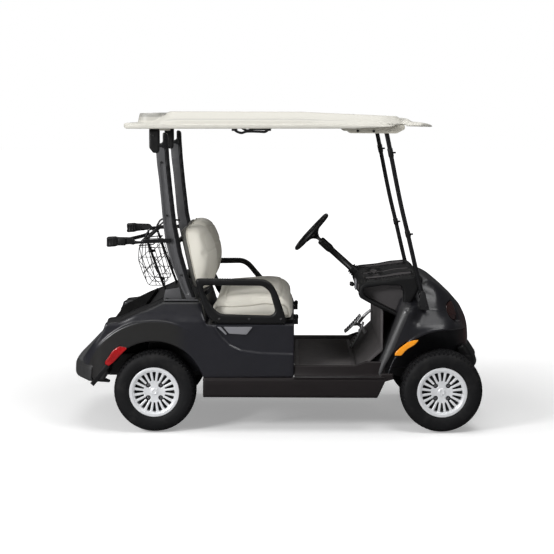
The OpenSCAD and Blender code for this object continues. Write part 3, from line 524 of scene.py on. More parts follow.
def outline(points, r=20, margin=0.25, step=0.003):
    """Signed distance to an outline given in millimetres, negative inside, read from a fine 2-D grid."""
    p = soft(points, r) * MM if r else np.asarray(points, float) * MM
    lo, hi = p.min(0) - margin, p.max(0) + margin
    a = np.arange(lo[0], hi[0], step)
    b = np.arange(lo[1], hi[1], step)
    x, z = a[:, None], b[None, :]
    best = np.full((len(a), len(b)), 1e9)
    sign = np.zeros((len(a), len(b)), bool)
    for (x0, z0), (x1, z1) in zip(p, np.roll(p, -1, 0)):
        ex, ez = x1 - x0, z1 - z0
        t = np.clip(((x - x0) * ex + (z - z0) * ez) / max(ex * ex + ez * ez, 1e-12), 0, 1)
        best = np.minimum(best, (x - x0 - t * ex) ** 2 + (z - z0 - t * ez) ** 2)
        if z0 != z1:
            sign ^= ((z0 > z) != (z1 > z)) & (x < ex * (z - z0) / ez + x0)
    grid = np.where(sign, -1, 1) * np.sqrt(best)

    def read(u, v):
        i = np.clip((u - lo[0]) / step, 0, len(a) - 1.001)
        j = np.clip((v - lo[1]) / step, 0, len(b) - 1.001)
        i0, j0 = i.astype(int), j.astype(int)
        fi, fj = i - i0, j - j0
        return ((grid[i0, j0] * (1 - fi) + grid[i0 + 1, j0] * fi) * (1 - fj)
                + (grid[i0, j0 + 1] * (1 - fi) + grid[i0 + 1, j0 + 1] * fi) * fj)
    return read


def rect(u, v, u0, u1, v0, v1):
    """Signed distance to a box in two of the axes."""
    du = np.maximum(u0 - u, u - u1)
    dv = np.maximum(v0 - v, v - v1)
    return np.maximum(du, dv)


def field_mesh(name, form, lo, hi, step, mat, share=0.44, **more):
    """The zero surface of a distance field as a smooth mesh, thinned to a share of its faces."""
    lo, hi = np.asarray(lo, float), np.asarray(hi, float)
    count = np.ceil((hi - lo) / step).astype(int) + 1
    axes = [lo[i] + step * np.arange(count[i]) for i in range(3)]
    f = form(axes[0][:, None, None], axes[1][None, :, None], axes[2][None, None, :])
    f = np.broadcast_to(f, count).astype(np.float32)
    solid = f < 0
    n = np.array(f.shape) - 1
    corners = [(i, j, k) for i in (0, 1) for j in (0, 1) for k in (0, 1)]

    def at(a, c):
        return a[c[0]:n[0] + c[0], c[1]:n[1] + c[1], c[2]:n[2] + c[2]]

    filled = sum(at(solid, c).astype(np.int8) for c in corners)
    mixed = (filled > 0) & (filled < 8)
    cells = np.argwhere(mixed)
    index = np.full(mixed.shape, -1)
    index[mixed] = np.arange(len(cells))
    total, hits = np.zeros((len(cells), 3)), np.zeros(len(cells))
    for c in corners:
        for axis in range(3):
            if c[axis]:
                continue
            d = tuple(c[i] + (i == axis) for i in range(3))
            fa, fb = at(f, c)[mixed], at(f, d)[mixed]
            cross = (fa < 0) != (fb < 0)
            t = np.where(cross, fa / np.where(cross, fa - fb, 1), 0)
            point = np.array(c, float) + np.outer(t, np.eye(3)[axis])
            total[cross] += point[cross]
            hits[cross] += 1
    verts = lo + step * (cells + total / hits[:, None])
    faces = []
    for axis in range(3):
        o1, o2 = [(1, 2), (2, 0), (0, 1)][axis]
        sl = [slice(1, m) for m in n]
        sl[axis] = slice(0, n[axis])
        near = solid[tuple(sl)]
        sl[axis] = slice(1, n[axis] + 1)
        far = solid[tuple(sl)]
        for flip, change in ((False, near & ~far), (True, ~near & far)):
            where = np.argwhere(change)
            if not len(where):
                continue
            base = where.copy()
            base[:, o1] += 1
            base[:, o2] += 1
            ring4 = []
            for s1, s2 in ((0, 0), (1, 0), (1, 1), (0, 1)):
                q = base.copy()
                q[:, o1] -= s1
                q[:, o2] -= s2
                ring4.append(index[q[:, 0], q[:, 1], q[:, 2]])
            quad = np.stack(ring4, 1)
            faces.append(quad[:, ::-1] if flip else quad)
    faces = np.vstack(faces)
    faces = faces[(faces >= 0).all(1)]
    # Pull each point onto the true surface
    for _ in range(2):
        value = form(verts[:, 0], verts[:, 1], verts[:, 2])
        grad = np.empty_like(verts)
        for i in range(3):
            moved = verts.copy()
            moved[:, i] += 5e-4
            grad[:, i] = (form(moved[:, 0], moved[:, 1], moved[:, 2]) - value) / 5e-4
        size = np.maximum((grad ** 2).sum(1), 0.2)
        move = -(value / size)[:, None] * grad
        length = np.linalg.norm(move, axis=1)[:, None]
        verts += move * np.minimum(1, 0.5 * step / np.maximum(length, 1e-9))
    mesh = bpy.data.meshes.new(name)
    mesh.vertices.add(len(verts))
    mesh.vertices.foreach_set("co", verts.astype(np.float32).ravel())
    mesh.loops.add(len(faces) * 4)
    mesh.loops.foreach_set("vertex_index", faces.astype(np.int32).ravel())
    mesh.polygons.add(len(faces))
    mesh.polygons.foreach_set("loop_start", np.arange(0, len(faces) * 4, 4, dtype=np.int32))
    mesh.update(calc_edges=True)
    mesh.validate()
    obj = bpy.data.objects.new(name, mesh)
    scene.collection.objects.link(obj)
    if share < 1:
        thin = obj.modifiers.new("thin", "DECIMATE")
        thin.ratio = share
        apply_modifiers(obj)
    return finish_piece(obj, mat, **more)


# ---------------------------------------------------------------- rear body

def wheel_polar(x, z, cx):
    dx, dz = x - cx, z - AXLE_Z
    return np.sqrt(dx * dx + dz * dz), np.degrees(np.arctan2(dz, dx))


def rear_body():
    side = outline([(-1173, 302), (-993, 302), (-463, 318), (94, 322), (94, 625), (-402, 625), (-418, 690),
                    (-437, 755),
                    (-655, 755), (-690, 737), (-760, 706), (-830, 678), (-905, 641), (-980, 632),
                    (-986, 604),
                    (-1018, 550), (-1053, 512), (-1128, 412), (-1190, 350)], 14)
    plan = outline(even([(130, 595), (-985, 595), (-1062, 560), (-1110, 480), (-1160, 330), (-1188, 110)]),
                    60)
    scoop = outline([(-378, 640), (-375, 622), (-350, 582), (-327, 548), (-278, 499), (-214, 468),
                     (-100, 451),
                     (60, 446), (160, 444), (160, 640)], 6)

    def half_width(x, z):
        r, angle = wheel_polar(x, z, REAR.x)
        angle = np.where(angle < -90, angle + 360, angle)
        fade = ease((angle - 52) / 26)
        tilt = 0.004 * ease((r - 0.30) / 0.10) * ease((angle - 20) / 40)
        step = 0.015 * fade * ease((r - (0.404 + 0.004 * np.cos(np.radians(angle - 105)))) / 0.010)
        cut = 0.019 * ease(-scoop(x, z) / 0.021)
        seam = 0.003 * ease(1 - np.abs(x - 0.078) / 0.003) * (z > 0.33)
        return 0.594 - tilt - step - cut - seam

    def shoulder(x, y, z):
        # The side leans in above the flare
        ridge = 0.640 - 0.03 * ease((-0.80 - x) / 0.10)
        return (np.abs(y) - 0.590 + 0.62 * np.maximum(z - ridge, 0)) * 0.85

    def form(x, y, z):
        ay = np.abs(y)
        f = smax(side(x, z), plan(x, y), 0.02)
        f = smax(f, ay - half_width(x, z), 0.012)
        f = smax(f, shoulder(x, y, z), 0.022)
        r, _ = wheel_polar(x, z, REAR.x)
        f = smax(f, -np.maximum(r - 0.292, 0.367 - ay), 0.009)
        well = np.maximum(rect(x, y, -1.146, -0.760, -0.370, 0.370), 0.43 - z)
        f = smax(f, -well, 0.014)
        # A shallow channel along the inner edge of each deck
        rim = np.abs(ay - 0.386)
        f = f - 0.006 * ease(1 - rim / 0.012) * (z > 0.58) * (x < -0.66)
        # Shelf over the tail lamp
        shelf = rect(x, z, -0.966, -0.800, 0.585, 0.628) - 0.002
        f = smin(f, np.maximum(np.maximum(shelf, ay - 0.556 + 0.5 * np.maximum(-0.94 - x, 0)), 0.40 - ay),
                 0.010)
        return f

    field_mesh("rear_body_shell", form, (-1.206, -0.606, 0.285), (0.112, 0.606, 0.772), 0.0072, "body",
               slot="body_paint", replaces=("rear_body",))


rear_body()


# ---------------------------------------------------------------- front body

ARCH = (FRONT.x + 0.020, AXLE_Z + 0.032)
HOOD = outline([(716, 700), (750, 850), (800, 865), (845, 871), (915, 835), (990, 775), (1064, 706),
                (1104, 630),
                (1130, 563), (1142, 484), (1122, 420), (1085, 385), (620, 330), (590, 380)], 22)


def hood_width(y_half, x, z):
    """Half width of the hood, which narrows upwards and towards the nose."""
    return y_half - 0.50 * np.maximum(z - 0.66, 0) - 0.30 * ease((x - 0.90) / 0.28)


def front_half(x, z):
    """Half width of the front wings, with the raised pillar strip along their back edge."""
    run = (x - 0.556) * PILLAR_COS - (z - 0.365) * PILLAR_SIN
    strip = ease((run + 0.006) / 0.003) * ease((0.048 - run) / 0.004)
    bulge = 0.012 * ease((x - 0.70) / 0.16)
    lean = 0.150 * ease((z - 0.560) / 0.20) ** 1.15 * ease((run - 0.050) / 0.09)
    return 0.579 + 0.011 * strip + bulge - lean


def front_cowl():
    wing = outline([(543, 299), (556, 365), (712, 742), (756, 735), (864, 718), (935, 692), (1000, 645),
                    (1060, 590), (1096, 540), (1110, 480), (1110, 299)], 30)
    plan = outline(even([(540, -595), (947, -595), (1003, -535), (1064, -415), (1118, -260), (1144, -80)]),
                   60)
    lens = outline([(962, 722), (972, 668), (1000, 622), (1070, 600), (1100, 640), (1085, 720),
                    (1030, 760)], 22)

    def form(x, y, z):
        ay = np.abs(y)
        # The hood stands between the wings
        top = smax(HOOD(x, z), (ay - hood_width(0.475, x, z)) * 0.86, 0.06)
        crown = z - (0.872 - 0.22 * y * y) - 0.6 * np.maximum(x - 0.84, 0)
        top = smax(top, crown, 0.02)
        side = smax(wing(x, z + 0.020 * ease((ay - 0.50) / 0.095) - 0.030 * ease((0.50 - ay) / 0.20)),
                    ay - front_half(x, z), 0.060)
        f = smin(top, side, 0.055)
        f = smax(f, plan(x, y), 0.04)
        dx, dz = x - ARCH[0], z - ARCH[1]
        r = np.sqrt(dx * dx + dz * dz)
        f = smax(f, -np.maximum(r - 0.322, 0.255 - ay), 0.010)
        inner = np.sqrt((x - FRONT.x + 0.012) ** 2 + (z - AXLE_Z) ** 2)
        f = smax(f, -np.maximum(np.maximum(inner - 0.350, 0.255 - ay), ay - 0.575), 0.008)
        # Lamp recess, hood joint and lip of the arch
        f = smax(f, -np.maximum(lens(x, z), np.abs(ay - 0.405) - 0.085) - 0.004, 0.006)
        joint = np.abs(z - (0.712 - 0.10 * (x - 0.75)))
        f = f + 0.003 * ease(1 - joint / 0.005) * (ay > 0.33) * (x > 0.74) * (x < 0.96)
        f = f - 0.004 * ease(1 - np.abs(r - 0.333) / 0.012) * (ay > 0.57)
        return f

    field_mesh("front_cowl_shell", form, (0.528, -0.606, 0.286), (1.170, 0.606, 0.900), 0.0066, "cowl",
               slot="body_paint", replaces=("front_cowl",))


def front_bumper():
    side = outline([(1085, 330), (1160, 322), (1192, 332), (1196, 348), (1186, 392), (1150, 448),
                    (1128, 470),
                    (1085, 455)], 12)

    def form(x, y, z):
        ay = np.abs(y)
        f = side(x + 0.35 * y * y * 1.5, z)
        f = smax(f, ay - 0.290, 0.03)
        slot = np.maximum(rect(y, z, -0.16, 0.16, 0.352, 0.386), 1.160 - x)
        f = smax(f, -slot, 0.006)
        return f + 0.003 * ease(1 - np.abs(z - 0.405) / 0.004)

    field_mesh("front_bumper_bar", form, (1.020, -0.310, 0.300), (1.206, 0.310, 0.490), 0.0058, "black",
               slot="bumper_plastic", replaces=("front_bumper",))


def rear_bumper():
    side = outline([(-980, 358), (-1066, 283), (-1100, 286), (-1192, 292), (-1201, 312), (-1198, 372),
                    (-1150, 420),
                    (-1075, 498), (-1040, 480)], 8)

    def form(x, y, z):
        ay = np.abs(y)
        back = 0.070 * ease((ay - 0.30) / 0.26) ** 1.3 + 0.012 * (ay / 0.3) ** 2 * (ay < 0.6)
        f = side(x - back, z)
        f = smax(f, ay - 0.560 + 0.25 * np.maximum(-1.06 - x, 0), 0.03)
        # Only a skin, open towards the cart
        f = smax(f, -(side(x - back - 0.016, z + 0.001) + 0.012), 0.006)
        plate = rect(y, z, -0.17, 0.17, 0.312, 0.362)
        f = f + 0.006 * ease(-plate / 0.006) * (x < -1.15)
        return f

    field_mesh("rear_bumper_skin", form, (-1.206, -0.600, 0.270), (-0.960, 0.600, 0.510), 0.0060, "bumper",
               slot="bumper_plastic", replaces=("rear_bumper",))
    # Stays under the bumper
    parts = []
    for s in (-1, 1):
        path = smooth_path([(-0.960, s * 0.577, 0.394), (-1.010, s * 0.574, 0.334),
                            (-1.058, s * 0.566, 0.278)], 8)
        parts.append(sweep(path, rounded_rect(0.026, 0.016, 0.004), up=(0, 1, 0)))
    add_mesh("bumper_stays", *combine(parts), "black", slot="bumper_plastic", bevel=0.001)


front_cowl()
front_bumper()
rear_bumper()


# ---------------------------------------------------------------- dashboard

def dashboard():
    side = outline([(463, 800), (472, 838), (500, 856), (620, 868), (700, 884), (800, 893), (834, 872),
                    (812, 822),
                    (764, 738), (724, 650), (704, 645), (560, 716), (500, 748), (466, 768)], 14)
    pocket = outline([(492, 822), (600, 838), (706, 836), (722, 800), (716, 680), (698, 672), (600, 722),
                      (512, 764), (490, 786)], 16)
    shelf = outline([(505, 900), (505, 838), (600, 846), (700, 860), (790, 872), (790, 930)], 10)

    def form(x, y, z):
        ay = np.abs(y)
        f = smax(side(x, z), ay - 0.478, 0.016)
        # Framed ends
        f = smax(f, -np.maximum(pocket(x, z), 0.405 - ay), 0.010)
        # Open glove pocket on the near side, a tray along the top and cup holders
        f = smax(f, -np.maximum(rect(y, z, -0.385, -0.185, 0.742, 0.818), x - 0.655), 0.014)
        f = smax(f, -np.maximum(rect(y, z, 0.045, 0.205, 0.760, 0.812), x - 0.560), 0.012)
        tray = np.maximum(shelf(x, z) + 0.004, np.minimum(np.abs(ay - 0.315) - 0.115, ay - 0.03))
        f = smax(f, -tray, 0.008)
        for cy in (0.070, 0.150):
            cup = np.maximum(np.hypot(x - 0.577, ay - cy) - 0.037, 0.775 - z)
            f = smax(f, -cup, 0.006)
            ring_edge = np.abs(np.hypot(x - 0.577, ay - cy) - 0.046)
            f = f - 0.0035 * ease(1 - ring_edge / 0.006) * (z > 0.84)
        ribs = 0.0018 * np.sin(x * 2 * math.pi / 0.022) * (np.abs(ay - 0.315) < 0.108) * (z > 0.83)
        return f + ribs

    field_mesh("dashboard_moulding", form, (0.445, -0.490, 0.630), (0.850, 0.490, 0.905), 0.0056, "dash",
               slot="black_plastic", replaces=("dashboard",))
    # Key plate with its knob and a choke pull
    add_mesh("key_plate", *box_part((0.456, -0.150, 0.772), (0.466, -0.040, 0.830)), "plate",
             slot="black_plastic", bevel=0.002)
    pts, faces = revolve([(0.0001, 0.03), (0.010, 0.03), (0.013, 0.026), (0.013, 0.010), (0.007, 0.008),
                          (0.007, 0)], 24)
    for name, y, z, k in (("key_knob", -0.070, 0.800, 1.0), ("choke_knob", -0.120, 0.800, 0.8)):
        p = np.stack([0.457 + pts[:, 1] * k, y + pts[:, 0] * k, z + pts[:, 2] * k], 1)
        add_mesh(name, p, faces, "black", slot="black_plastic", angle=50)


dashboard()


# ---------------------------------------------------------------- roof

def roof():
    side = outline([(-868, 1750), (-858, 1732), (-845, 1729), (420, 1730), (660, 1742), (700, 1744),
                    (896, 1737),
                    (898, 1741), (842, 1758), (806, 1764), (778, 1786), (736, 1790), (709, 1778),
                    (690, 1798),
                    (126, 1824), (-600, 1827), (-624, 1826), (-640, 1802), (-654, 1802), (-666, 1819),
                    (-784, 1818), (-800, 1798), (-812, 1786), (-850, 1768)], 6)
    edge = outline(even([(-878, -525), (-850, -572), (-790, -590), (740, -590), (800, -575), (845, -520),
                         (880, -420), (898, -250)]), 40)
    top = outline([(-640, -470), (-600, -512), (600, -512), (690, -470), (700, 0), (690, 470), (600, 512),
                   (-600, 512), (-640, 470)], 40)
    hump = outline(even([(-795, -430), (-760, -470), (-690, -470), (-655, -430)]), 30)
    gutter = outline(even([(-840, -520), (-780, -552), (640, -552), (700, -520)]), 40)

    def form(x, y, z):
        ay = np.abs(y)
        f = smax(side(x, z), edge(x, y), 0.014)
        # Crown: the middle rises from a flat margin
        margin = top(x, y)
        rise = 1.790 + 0.038 * ease((0.035 - margin) / 0.070)
        rise = rise - 0.028 * ease((margin - 0.02) / 0.060) - 0.04 * np.maximum(x - 0.126, 0)
        back = 0.056 * ease((0.006 - hump(x, y)) / 0.018)
        nose = 0.03 * ease((x - 0.70) / 0.04)
        f = smax(f, z - (rise + back * (x < -0.63) + nose), 0.006)
        # Rolled rim along the sides, and a gutter inside it
        f = smax(f, (ay - 0.560 - 0.55 * np.maximum(1.764 - z, 0) - 2.0 * (z < 1.752)) * 0.8, 0.010)
        f = f + 0.004 * ease(1 - np.abs(gutter(x, y)) / 0.008) * (z > 1.75)
        # Long shallow channels in the crown
        fade = (z > 1.79) * ease((0.55 - x) / 0.05) * ease((x + 0.52) / 0.05)
        for cy in (0.0, 0.26):
            f = f + 0.004 * ease(1 - np.abs(ay - cy) / 0.020) * fade
        # Hollow below
        hollow = smax(edge(x, y) + 0.045, z - 1.7500, 0.006)
        f = smax(f, -hollow, 0.008)
        return f

    field_mesh("roof_shell", form, (-0.892, -0.604, 1.718), (0.908, 0.604, 1.834), 0.0078, "ivory",
               slot="ivory_plastic", replaces=("roof",))


roof()


# ---------------------------------------------------------------- wheels

def tyre(name, node, body, centre, side):
    """A tyre with a smooth wall and a blocky turf tread; side is 1 on the left and -1 on the right."""
    wall = [(0.128, -0.083), (0.136, -0.087), (0.143, -0.089), (0.150, -0.094), (0.158, -0.098),
            (0.170, -0.1005),
            (0.184, -0.1015), (0.198, -0.1005), (0.2085, -0.097), (0.2165, -0.092)]
    tread = [(0.2225, -0.087)]
    for h in np.linspace(-0.080, 0.080, 33):
        tread.append((0.2358 - 0.011 * (abs(h) / 0.082) ** 3, h))
    tread.append((0.2225, 0.087))
    profile = np.array(wall + tread + [(r, -h) for r, h in reversed(wall)])
    n = TREAD_STEPS
    m = len(profile)
    turn = np.linspace(0, 2 * math.pi, n, endpoint=False)[:, None]
    r = np.broadcast_to(profile[:, 0], (n, m)).copy()
    h = np.broadcast_to(profile[:, 1], (n, m))
    # Blocks: cross grooves that step from row to row, and zigzag grooves between the rows
    row = np.clip(np.floor((h + 0.0875) / 0.025), 0, 6)
    phase = (turn * TREAD_BLOCKS / (2 * math.pi) + row * 0.5 + 0.12 * np.sin(h * 120)) % 1
    cross = (phase < 0.30) & (r > 0.2205)
    weave = 0.0028 * np.sin(turn * TREAD_BLOCKS)
    gap = np.abs((h + weave + 0.0875) % 0.025 - 0.0125) > 0.0098
    along = gap & (np.abs(h) < 0.074)
    r = r - 0.0065 * (cross | along)
    pts = np.stack([np.cos(turn) * r, side * h, np.sin(turn) * r], -1).reshape(-1, 3)
    pts += np.array(centre)
    i = np.arange(n)[:, None]
    j = np.arange(m)[None, :]
    k, l = (i + 1) % n, (j + 1) % m
    quads = np.stack([i * m + j, k * m + j, k * m + l, i * m + l], -1).reshape(-1, 4)
    add_mesh(name, pts, quads.tolist(), "tyre", body=body, slot="tyre", replaces=(node,), angle=40)
    bpy.data.objects[name].data.set_sharp_from_angle(angle=math.radians(38))


def rim_form(x, y, z):
    """Right-hand rim about its own centre, outer face towards -Y."""
    h = -y
    r = np.sqrt(x * x + z * z)
    angle = np.degrees(np.arctan2(z, x))
    ramp = [(0.0, 0.0750), (0.020, 0.0750), (0.030, 0.0715), (0.050, 0.0725), (0.064, 0.0760),
            (0.090, 0.0800),
            (0.112, 0.0815), (0.120, 0.0825), (0.128, 0.0865), (0.134, 0.0895), (0.140, 0.0915),
            (0.150, 0.0915)]
    face = np.interp(r, [p[0] for p in ramp], [p[1] for p in ramp])
    disc = smax(h - face, face - 0.0105 - h, 0.003)
    disc = smax(disc, r - 0.1415, 0.003)
    # Slots that widen outwards
    local = (angle + 9) % 18 - 9
    across = np.abs(r * np.sin(np.radians(local)))
    slot = smax(across - (0.0040 + 0.115 * (r - 0.062)), np.abs(r - 0.0885) - 0.0265, 0.005)
    disc = smax(disc, -slot, 0.0035)
    # Nut pockets, centre cap
    local = np.radians((angle + 90) % 90 - 45)
    pocket = np.hypot(r * np.cos(local) - 0.0508, r * np.sin(local)) - 0.0140
    disc = smax(disc, -smax(pocket, 0.0580 - h, 0.002), 0.003)
    groove = np.abs(r - 0.0245) - 0.0016
    disc = smax(disc, -smax(groove, 0.0715 - h, 0.001), 0.002)
    cap = smax(np.abs(r - 0.013) - 0.0030, np.abs(h - 0.0755) - 0.002, 0.002)
    disc = smin(disc, cap, 0.002)
    barrel = smax(np.abs(r - 0.1225) - 0.0045, np.abs(h) - 0.088, 0.003)
    lip = smax(np.abs(np.abs(h) - 0.0895) - 0.0028, np.abs(r - 0.1335) - 0.0085, 0.002)
    return smin(smin(disc, barrel, 0.004), lip, 0.003)


def rims():
    master = field_mesh("rim_master", rim_form, (-0.146, -0.097, -0.146), (0.146, 0.097, 0.146), 0.0031,
                        "rim",
                        slot="rim_metal")
    nuts = []
    for k in range(4):
        a = math.radians(45 + 90 * k)
        nuts.append(bolt((0.0508 * math.cos(a), -0.056, 0.0508 * math.sin(a)), (0, -1, 0), 0.0058, 0.011))
    nut_points, nut_faces = combine(nuts)
    drum, drum_faces = revolve([(0.0001, 0.050), (0.060, 0.050), (0.100, 0.046), (0.116, 0.040),
                                (0.116, -0.050),
                                (0.0001, -0.050)], 48)
    stem, stem_faces = sweep([(0.112, -0.078, 0.0), (0.110, -0.092, 0), (0.106, -0.099, 0)],
                             ring(0.003, 10),
                             up=(0, 0, 1))
    for name, centre, side in WHEELS:
        flip = np.array([1, -side, 1])
        body = name + "_wheel"
        pts = np.array([tuple(v.co) for v in master.data.vertices]) * flip + centre
        faces = [tuple(f.vertices) for f in master.data.polygons]
        add_mesh(name + "_rim_cast", pts, faces, "rim", body=body, slot="rim_metal",
                 replaces=(name + "_rim",))
        add_mesh(name + "_wheel_nuts", nut_points * flip + centre, nut_faces, "chrome", body=body,
                 slot="bright_steel", angle=30, bevel=0.0006)
        add_mesh(name + "_brake_drum", drum * flip + centre, drum_faces, "rim_dark", body=body,
                 slot="rim_metal",
                 bevel=0.002)
        add_mesh(name + "_valve", stem * flip + centre, stem_faces, "black", body=body, slot="tyre")
    bpy.data.objects.remove(master)


WHEELS = [("front_left", np.array([FX, WHEEL_Y, AXLE_Z]), 1),
          ("front_right", np.array([FX, -WHEEL_Y, AXLE_Z]), -1),
          ("rear_left", np.array([RX, WHEEL_Y, AXLE_Z]), 1),
          ("rear_right", np.array([RX, -WHEEL_Y, AXLE_Z]), -1)]
for wheel, middle, hand in WHEELS:
    tyre(wheel + "_tyre_tread", wheel + "_tyre", wheel + "_wheel", middle, hand)
rims()


# ---------------------------------------------------------------- seats

def inflate(obj, cap, pinned):
    """Blow a closed cushion up as cloth, and keep each point within cap of where it started."""
    group = obj.vertex_groups.new(name="pinned")
    start = np.array([tuple(v.co) for v in obj.data.vertices])
    group.add([int(i) for i in np.nonzero(pinned(start))[0]], 1.0, "REPLACE")
    cloth = obj.modifiers.new("cloth", "CLOTH")
    s = cloth.settings
    s.quality = 4
    s.mass = 0.3
    s.tension_stiffness = 12
    s.compression_stiffness = 12
    s.shear_stiffness = 5
    s.bending_stiffness = 1.5
    s.use_pressure = True
    s.uniform_pressure_force = 4
    s.effector_weights.gravity = 0
    s.vertex_group_mass = "pinned"
    cloth.collision_settings.use_collision = False
    cloth.point_cache.frame_start = 1
    cloth.point_cache.frame_end = 20
    for frame_number in range(1, 21):
        scene.frame_set(frame_number)
    graph = bpy.context.evaluated_depsgraph_get()
    shown = obj.evaluated_get(graph).data
    end = np.array([tuple(v.co) for v in shown.vertices])
    obj.modifiers.clear()
    move = end - start
    length = np.linalg.norm(move, axis=1)[:, None]
    end = start + move * np.minimum(1, cap / np.maximum(length, 1e-9))
    obj.data.vertices.foreach_set("co", end.astype(np.float32).ravel())
    obj.vertex_groups.clear()
    scene.frame_set(1)
    sub = obj.modifiers.new("sub", "SUBSURF")
    sub.levels = 1
    apply_modifiers(obj)


def carve(obj, depth_at):
    """Sink each point along its normal by depth_at(points)."""
    mesh = obj.data
    n = len(mesh.vertices)
    co, no = np.zeros(n * 3, np.float32), np.zeros(n * 3, np.float32)
    mesh.vertices.foreach_get("co", co)
    mesh.vertex_normals.foreach_get("vector", no)
    co, no = co.reshape(-1, 3), no.reshape(-1, 3)
    co = co - no * depth_at(co.astype(float))[:, None]
    mesh.vertices.foreach_set("co", co.astype(np.float32).ravel())
    mesh.update()


def hug(obj, points, out=0.001):
    """The nearest points on a piece, just proud of it."""
    found = []
    for p in points:
        ok, place, normal, _ = obj.closest_point_on_mesh(Vector(p))
        found.append(place + normal * out)
    return np.array(found)


def seat_cushion():
    profile = outline([(-383, 652), (88, 652), (94, 690), (93, 732), (60, 766), (-70, 775), (-300, 757),
                       (-383, 744)],
                      30)

    def form(x, y, z):
        ay = np.abs(y)
        f = smax(profile(x + 0.012 * (ay / 0.5) ** 4 * (x > 0), z + 0.006 * (ay / 0.5) ** 4), ay - 0.506,
                 0.045)
        return f

    pad = field_mesh("seat_cushion_pad", form, (-0.400, -0.540, 0.636), (0.115, 0.540, 0.790), 0.0116,
                     "vinyl", share=1,
                     body="seat", slot="seat_vinyl", replaces=("seat_cushion",))
    inflate(pad, 0.020, lambda p: p[:, 2] < 0.662)

    def seams(p):
        top = ease((p[:, 2] - 0.70) / 0.02)
        middle = ease(1 - np.abs(p[:, 1]) / 0.012) * top
        front = ease(1 - np.abs(p[:, 0] - (0.030 - 0.02 * (np.abs(p[:, 1]) / 0.5) ** 2)) / 0.009) * top
        rear = ease(1 - np.abs(p[:, 0] + 0.300) / 0.009) * top
        sides = ease(1 - np.abs(np.abs(p[:, 1]) - 0.475) / 0.007) * top * (p[:,
                                                                             0] < 0.03) * (p[:, 0] > -0.30)
        return 0.006 * middle + 0.0035 * np.maximum(np.maximum(front, rear), sides)

    carve(pad, seams)
    loops = []
    for s in (-1, 1):
        track = soft([(-370, 664), (76, 664), (82, 692), (78, 722), (50, 746), (-70, 754), (-300, 740),
                      (-370, 730)],
                     28, 6) * MM
        dense = smooth_path(np.vstack([track, track[:1]]), 120)
        path = hug(pad, [(x, s * 0.535, z) for x, z in dense[:-1]], 0.0012)
        loops.append(sweep(path, ring(0.0034, 8), closed=True, up=(0, 1, 0)))
    add_mesh("seat_cushion_piping", *combine(loops), "piping", body="seat", slot="seat_vinyl")
    # Buckled release strap under the front edge
    parts = [box_part((0.090, -0.47, 0.640), (0.100, -0.44, 0.668)), box_part((0.098, -0.466, 0.644),
                                                                              (0.110, -0.444, 0.660))]
    add_mesh("seat_latch", *combine(parts), "black", body="seat", slot="black_plastic", bevel=0.003)


def seat_backs():
    profile = outline([(-440, 802), (-398, 808), (-372, 858), (-357, 930), (-357, 978), (-374, 1060),
                       (-408, 1138),
                       (-456, 1170), (-512, 1165), (-533, 1142), (-523, 1100), (-480, 900), (-460, 830)],
                       22)
    face = outline(even([(224, 802), (231, 880), (231, 1040), (223, 1100), (198, 1145), (140, 1170)], 0),
                   36)
    for s, side in ((-1, "right"), (1, "left")):
        middle = s * 0.258

        def form(x, y, z):
            v = y - middle
            rear = -0.480 - 0.215 * (z - 0.90)
            bow = 0.054 * (np.abs(v) / 0.232) ** 2.2 * np.clip((x - rear) / 0.04, 0, 1)
            return smax(profile(x + bow, z), face(v, z), 0.024)

        pad = field_mesh(side + "_seat_back_pad", form, (-0.556, middle - 0.25, 0.785),
                         (-0.335, middle + 0.25, 1.190),
                         0.0100, "vinyl", share=1, slot="seat_vinyl", replaces=("seat_backs",))
        inflate(pad, 0.016, lambda p: p[:, 0] < -0.470 - (p[:, 2] - 0.9) * 0.19)

        def seams(p, middle=middle):
            v = p[:, 1] - middle
            front = ease((p[:, 0] + 0.455 + (p[:, 2] - 0.95) * 0.30) / 0.02)
            border = ease(1 - np.abs(face(v, p[:, 2]) + 0.042) / 0.007)
            panel = ease(1 - np.abs(p[:, 2] - 1.035 + 0.25 * v * v) / 0.008) * (face(v, p[:, 2]) < -0.042)
            return (0.0035 * border + 0.004 * panel) * front

        carve(pad, seams)
        rim_track = soft([(-218, 812), (218, 812), (225, 880), (225, 1060), (220, 1126), (202, 1157),
                          (150, 1169),
                          (-150, 1169), (-202, 1157), (-220, 1126), (-225, 1060), (-225, 880)], 34, 6) * MM
        dense = smooth_path(np.vstack([rim_track, rim_track[:1]]), 120)
        aim = [(-0.484 - (z - 0.9) * 0.20, middle + v * 1.12,
                z + (0.02 if z > 1.05 else -0.01 * (z < 0.85)))
               for v, z in dense[:-1]]
        path = hug(pad, aim, 0.0012)
        add_mesh(side + "_seat_back_piping", *sweep(path, ring(0.0034, 8), closed=True, up=(1, 0, 0)),
                 "piping",
                 slot="seat_vinyl")

        shell = outline([(-490, 828), (-462, 828), (-480, 900), (-523, 1100), (-534, 1152), (-556, 1148),
                         (-552, 1092),
                         (-508, 890)], 8)

        def back(x, y, z):
            v = y - middle
            f = smax(shell(x - 0.010 * (np.abs(v) / 0.23) ** 4, z), face(v, z) + 0.006, 0.010)
            rib = np.abs((v + 0.03) % 0.06 - 0.03)
            return f + 0.003 * ease(1 - rib / 0.004) * (np.abs(v) < 0.17) * (z > 0.87) * (z < 1.08)

        field_mesh(side + "_seat_back_shell", back, (-0.575, middle - 0.25, 0.815),
                   (-0.445, middle + 0.25, 1.168),
                   0.0062, "shell", slot="black_plastic", replaces=("seat_back_shells",))


seat_cushion()
seat_backs()


# ---------------------------------------------------------------- armrests

